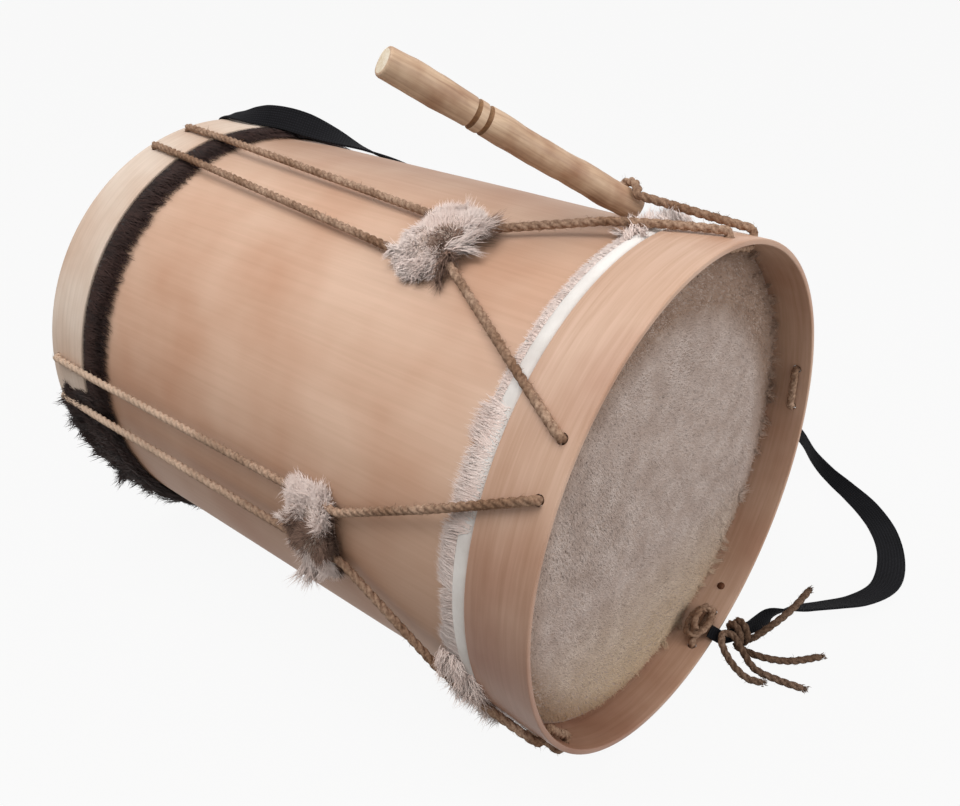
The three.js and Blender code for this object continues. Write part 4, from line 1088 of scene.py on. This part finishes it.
looseTufts = (  # sleeve, place across and along it, way across and along it, length
    (1, -0.92, 0.4, -1, 0.45, 26), (1, -0.9, 0.05, -1, 0.4, 20), (1, -0.85, -0.4, -1, 0, 13),
    (1, 0.15, 0.95, -0.2, 1, 12), (0, -0.75, 0.9, -0.5, 1, 12), (0, -0.95, 0.2, -1, 0.3, 9),
    (0, -0.4, -0.95, 0.4, -1, 21), (0, 0.2, -0.95, 0.5, -1, 20), (3, -0.9, 0.3, -1, 0.4, 13),
    (3, 0.3, 0.95, 0.2, 1, 11))
woolStretch = (1, 1.05, 0.6, 1, 0.6)  # trimmed shorter on the lowest and on the far one
woolLift = (0.26, 0.26, 0.08, 0.26, 0.26)  # the lowest one is pressed by the floor


def sleeveMiddle(k):  # angle and depth
    return lacing["tensioner"][k] + sleeve["turn"][k], lacing["sleeveDepth"][k] + sleeve["shift"][k]


def makeSleeve(k):
    bpy.ops.object.select_all(action="DESELECT")
    bpy.ops.mesh.primitive_cylinder_add(vertices=sleeve["around"], radius=1, depth=2)
    piece = bpy.context.object
    piece.name = f"tensioner{k + 1}Sleeve"
    bpy.ops.object.mode_set(mode="EDIT")
    for i in range(1, sleeve["along"]):
        bpy.ops.mesh.select_all(action="SELECT")
        bpy.ops.mesh.bisect(plane_co=(0, 0, -1 + 2 * i / sleeve["along"]), plane_no=(0, 0, 1))
    bpy.ops.object.mode_set(mode="OBJECT")
    angle, depth = sleeveMiddle(k)
    radius, crown = drum["shellRadius"], sleeve["crown"] - sleeve["underWool"]
    for vertex in piece.data.vertices:
        u, v, w = vertex.co  # across, up, along
        across = u * (1 - sleeve["taper"] * w ** 2) * sleeve["width"] / 2
        top = sleeve["rim"] + crown * (1 - abs(u) ** sleeve["square"]) * (1 - sleeve["endDip"] * w ** 2)
        height = top / 2 if abs(v) <= 0.02 else top if v > 0 else 0
        vertex.co = onDrum(angle - math.degrees(across / radius), radius + height + sleeve["seat"], 0)
        vertex.co.y = (depth - drum["length"] / 2 + w * sleeve["length"] / 2) * mm
    faceOutward()
    smooth(piece, 60)
    dress(piece, brownRawhide, f"tensioner_{k + 1}", [f"tensioner_{k + 1}"])


def sleeveSpots(k, u, w, rise=1):  # places on the sleeve's back, the ways out of it and round the drum
    angle, depth = sleeveMiddle(k)
    half = sleeve["width"] / 2 * (1 - sleeve["taper"] * w ** 2)
    height = 1 + (sleeve["crown"] - 2) * (1 - np.abs(u) ** sleeve["square"]) * rise
    angles = angle - np.degrees(u * half / drum["shellRadius"])
    roots = allOnDrum(angles, drum["shellRadius"] + height, depth + w * sleeve["length"] / 2)
    return roots, drumWays(angles), drumWays(angles - 90)


def growSleeveWool(k, seed):
    rng = np.random.default_rng(seed)
    count, locks, over = fleece["count"], wisps["locks"], fleece["overrun"]
    body, skyward = f"tensioner_{k + 1}", np.array([0, 0, 0.5])
    u, w = rng.uniform(-1, 1, count), np.clip(rng.uniform(-over, over, count), -1, 1)
    rise = np.where(np.abs(w) < 1, 1, rng.uniform(fleece["footing"], 1, count))  # woolly ends
    roots, outward, tangent = sleeveSpots(k, u, w, rise)
    # Combed outwards in slow waves
    aside = 0.9 * np.sign(u) * np.abs(u) ** 0.5 + 0.4 * np.sin(5 * w + 3 * u + k)
    onward = 0.8 * w ** 3 + 0.35 * np.sin(4 * u + 2.2 * w + 2 * k)
    leans = outward * woolLift[k] + tangent * aside[:, None] + rearward * onward[:, None]
    leans = leans + rng.normal(0, fleece["stray"], (count, 3))
    clump = np.sin(7 * u + 1.3 * k) * np.sin(5 * w + 2.1 * k + 2 * u)  # fuller and thinner places
    fuller = 1 + 0.2 * np.abs(u) ** 3 + 0.4 * clump
    lengths = rng.uniform(*fleece["length"], count) * fuller * woolStretch[k]
    ragged = 0.1 * np.sin(7 * w + k) + rng.normal(0, fleece["ragged"], count)
    at, half, narrowing = partings.get(k, frontParting)
    parting = np.abs(u + at) + ragged < half - narrowing * w
    brown = parting | ((w == -1) & (rise < fleece["brownBelow"]))  # darker between the ropes at the front
    if k == 0:  # matted locks hang out of the first one's front end
        lengths = np.where(brown & (w == -1), lengths * fleece["matted"], lengths)
    shade = outward + skyward
    for name, pick, material in (("Fleece", ~brown, whiteWool), ("Parting", brown, brownWool)):
        piece = growStrands(f"tensioner{k + 1}{name}", roots[pick], leans[pick], lengths[pick],
                            fleece["thick"], fleece["curl"], 2, seed, None, shade[pick])
        dress(piece, material, body)
    side = np.where(rng.uniform(0, 1, locks) < 0.5, -1, 1)
    u, w = side * rng.uniform(wisps["inner"], 1, locks), rng.uniform(-1, 1, locks)
    roots, outward, tangent = sleeveSpots(k, u, w)
    ways = outward * woolLift[k] + tangent * side[:, None] + rng.normal(0, wisps["stray"], (locks, 3))
    lengths = rng.uniform(*wisps["length"], locks) * woolStretch[k]
    growLocks(f"tensioner{k + 1}Wisps", roots, ways, lengths, outward + skyward, seed, wisps, whiteWool,
              body)
    mine = np.array([tuft[1:] for tuft in looseTufts if tuft[0] == k for _ in range(pointed["locks"])])
    if len(mine):
        u, w = [mine[:, i] + rng.normal(0, pointed["stray"], len(mine)) for i in (0, 1)]
        roots, outward, tangent = sleeveSpots(k, u, w)
        ways = outward * pointed["lift"] + tangent * mine[:, 2:3] + rearward * mine[:, 3:4]
        lengths = mine[:, 4] * rng.uniform(pointed["shortest"], 1, len(mine))
        growLocks(f"tensioner{k + 1}Tufts", roots, ways, lengths, outward + skyward, seed + 10, pointed,
                  whiteWool, body)


for k in range(lacing["count"]):
    makeSleeve(k)
    growSleeveWool(k, 61 + k)
print("tensioners made")


def makeBeater():
    r, length = beater["radius"], beater["length"]
    dip, half = beater["grooveDepth"], beater["grooveWidth"] / 2
    profile = [(0, 0)] + [(r - off, at) for off, at in beater["tailRound"]]
    profile += [(r, at) for at in np.linspace(*beater["rowsBelow"])]
    for middle in beater["grooves"]:
        profile += [(r - dip * (0.5 + 0.5 * math.cos(t)), middle + half * t / math.pi)
                    for t in np.linspace(-math.pi, math.pi, beater["grooveSteps"])]
    profile += [(r, at) for at in np.linspace(*beater["rowsAbove"])]
    profile += [(r - off, length - back) for off, back in beater["tipRound"]] + [(0, length)]
    side = beaterAxis.cross(Vector((0, 0, 1))).normalized()
    points = [beaterTail + (beaterAxis * at + side * out) * mm for out, at in profile]
    piece = spinAround("beaterStick", points, beater["steps"], beaterTail, beaterAxis, False)
    heights = [(face.center - beaterTail).dot(beaterAxis) / mm for face in piece.data.polygons]
    roughen(piece, "whittledCuts", beater["facet"], beater["whittle"], beater["level"])
    smooth(piece, 50)
    dress(piece, stickWood, "beater", ["beater"])
    piece.data.materials.append(stickEnd)
    piece.data.materials.append(stickRing)
    for face, at in zip(piece.data.polygons, heights):
        if at < beater["endDepth"] or at > length - beater["endDepth"]:
            face.material_index = 1
        elif min(abs(at - middle) for middle in beater["grooves"]) < half * beater["ringShare"]:
            face.material_index = 2


makeBeater()
print("beater made")

# Studio: pale floor, white surround, one broad light above and a fill
studio = {"world": 0.4, "whiteShare": 0.93, "floor": "a09e9b", "floorSize": 40, "target": (0, 0, 0.15)}
lamps = (("keyLight", (-0.55, 0.1, 1.6), 1.1, 17),  # place, size, power
         ("fillLight", (0.3, -1.6, 0.8), 1.2, 13))


def seenRays(tree):  # 1 for what is seen straight, in a shine or through glass
    path = addNode(tree, "LightPath", {}, {})
    either = {"operation": "MAXIMUM"}
    seen = addNode(tree, "Math", either, (path["Is Camera Ray"], path["Is Glossy Ray"]))
    return addNode(tree, "Math", either, (seen["Value"], path["Is Transmission Ray"]))["Value"]


def emptyTree(owner):
    owner.use_nodes = True
    owner.node_tree.nodes.clear()
    return owner.node_tree


def lightStudio():
    bpy.ops.object.select_all(action="DESELECT")
    bpy.ops.mesh.primitive_plane_add(size=studio["floorSize"])
    floor = bpy.context.object
    floor.name = "floor"
    material = bpy.data.materials.new("whiteFloor")
    tree = emptyTree(material)
    share = addNode(tree, "Math", times, (seenRays(tree), studio["whiteShare"]))
    matte = addNode(tree, "BsdfDiffuse", {}, {"Color": paint(studio["floor"])})
    glow = addNode(tree, "Emission", {}, {"Color": paint("ffffff"), "Strength": 1.0})
    mix = addNode(tree, "MixShader", {}, (share["Value"], matte["BSDF"], glow["Emission"]))
    addNode(tree, "OutputMaterial", {}, {"Surface": mix["Shader"]})
    floor.data.materials.append(material)
    world = bpy.data.worlds.new("whiteRoom")
    bpy.context.scene.world = world
    tree = emptyTree(world)
    level = addNode(tree, "MapRange", {}, {"Value": seenRays(tree), "To Min": studio["world"], "To Max": 1.0})
    back = addNode(tree, "Background", {}, {"Color": paint("ffffff"), "Strength": level["Result"]})
    addNode(tree, "OutputWorld", {}, {"Surface": back["Background"]})
    for name, place, size, power in lamps:
        bpy.ops.object.light_add(type="AREA", location=place)
        lamp = bpy.context.object
        lamp.name = name
        lamp.rotation_euler = (Vector(studio["target"]) - Vector(place)).to_track_quat("-Z", "Y").to_euler()
        lamp.data.size = size
        lamp.data.energy = power


lightStudio()
print("scene ready")
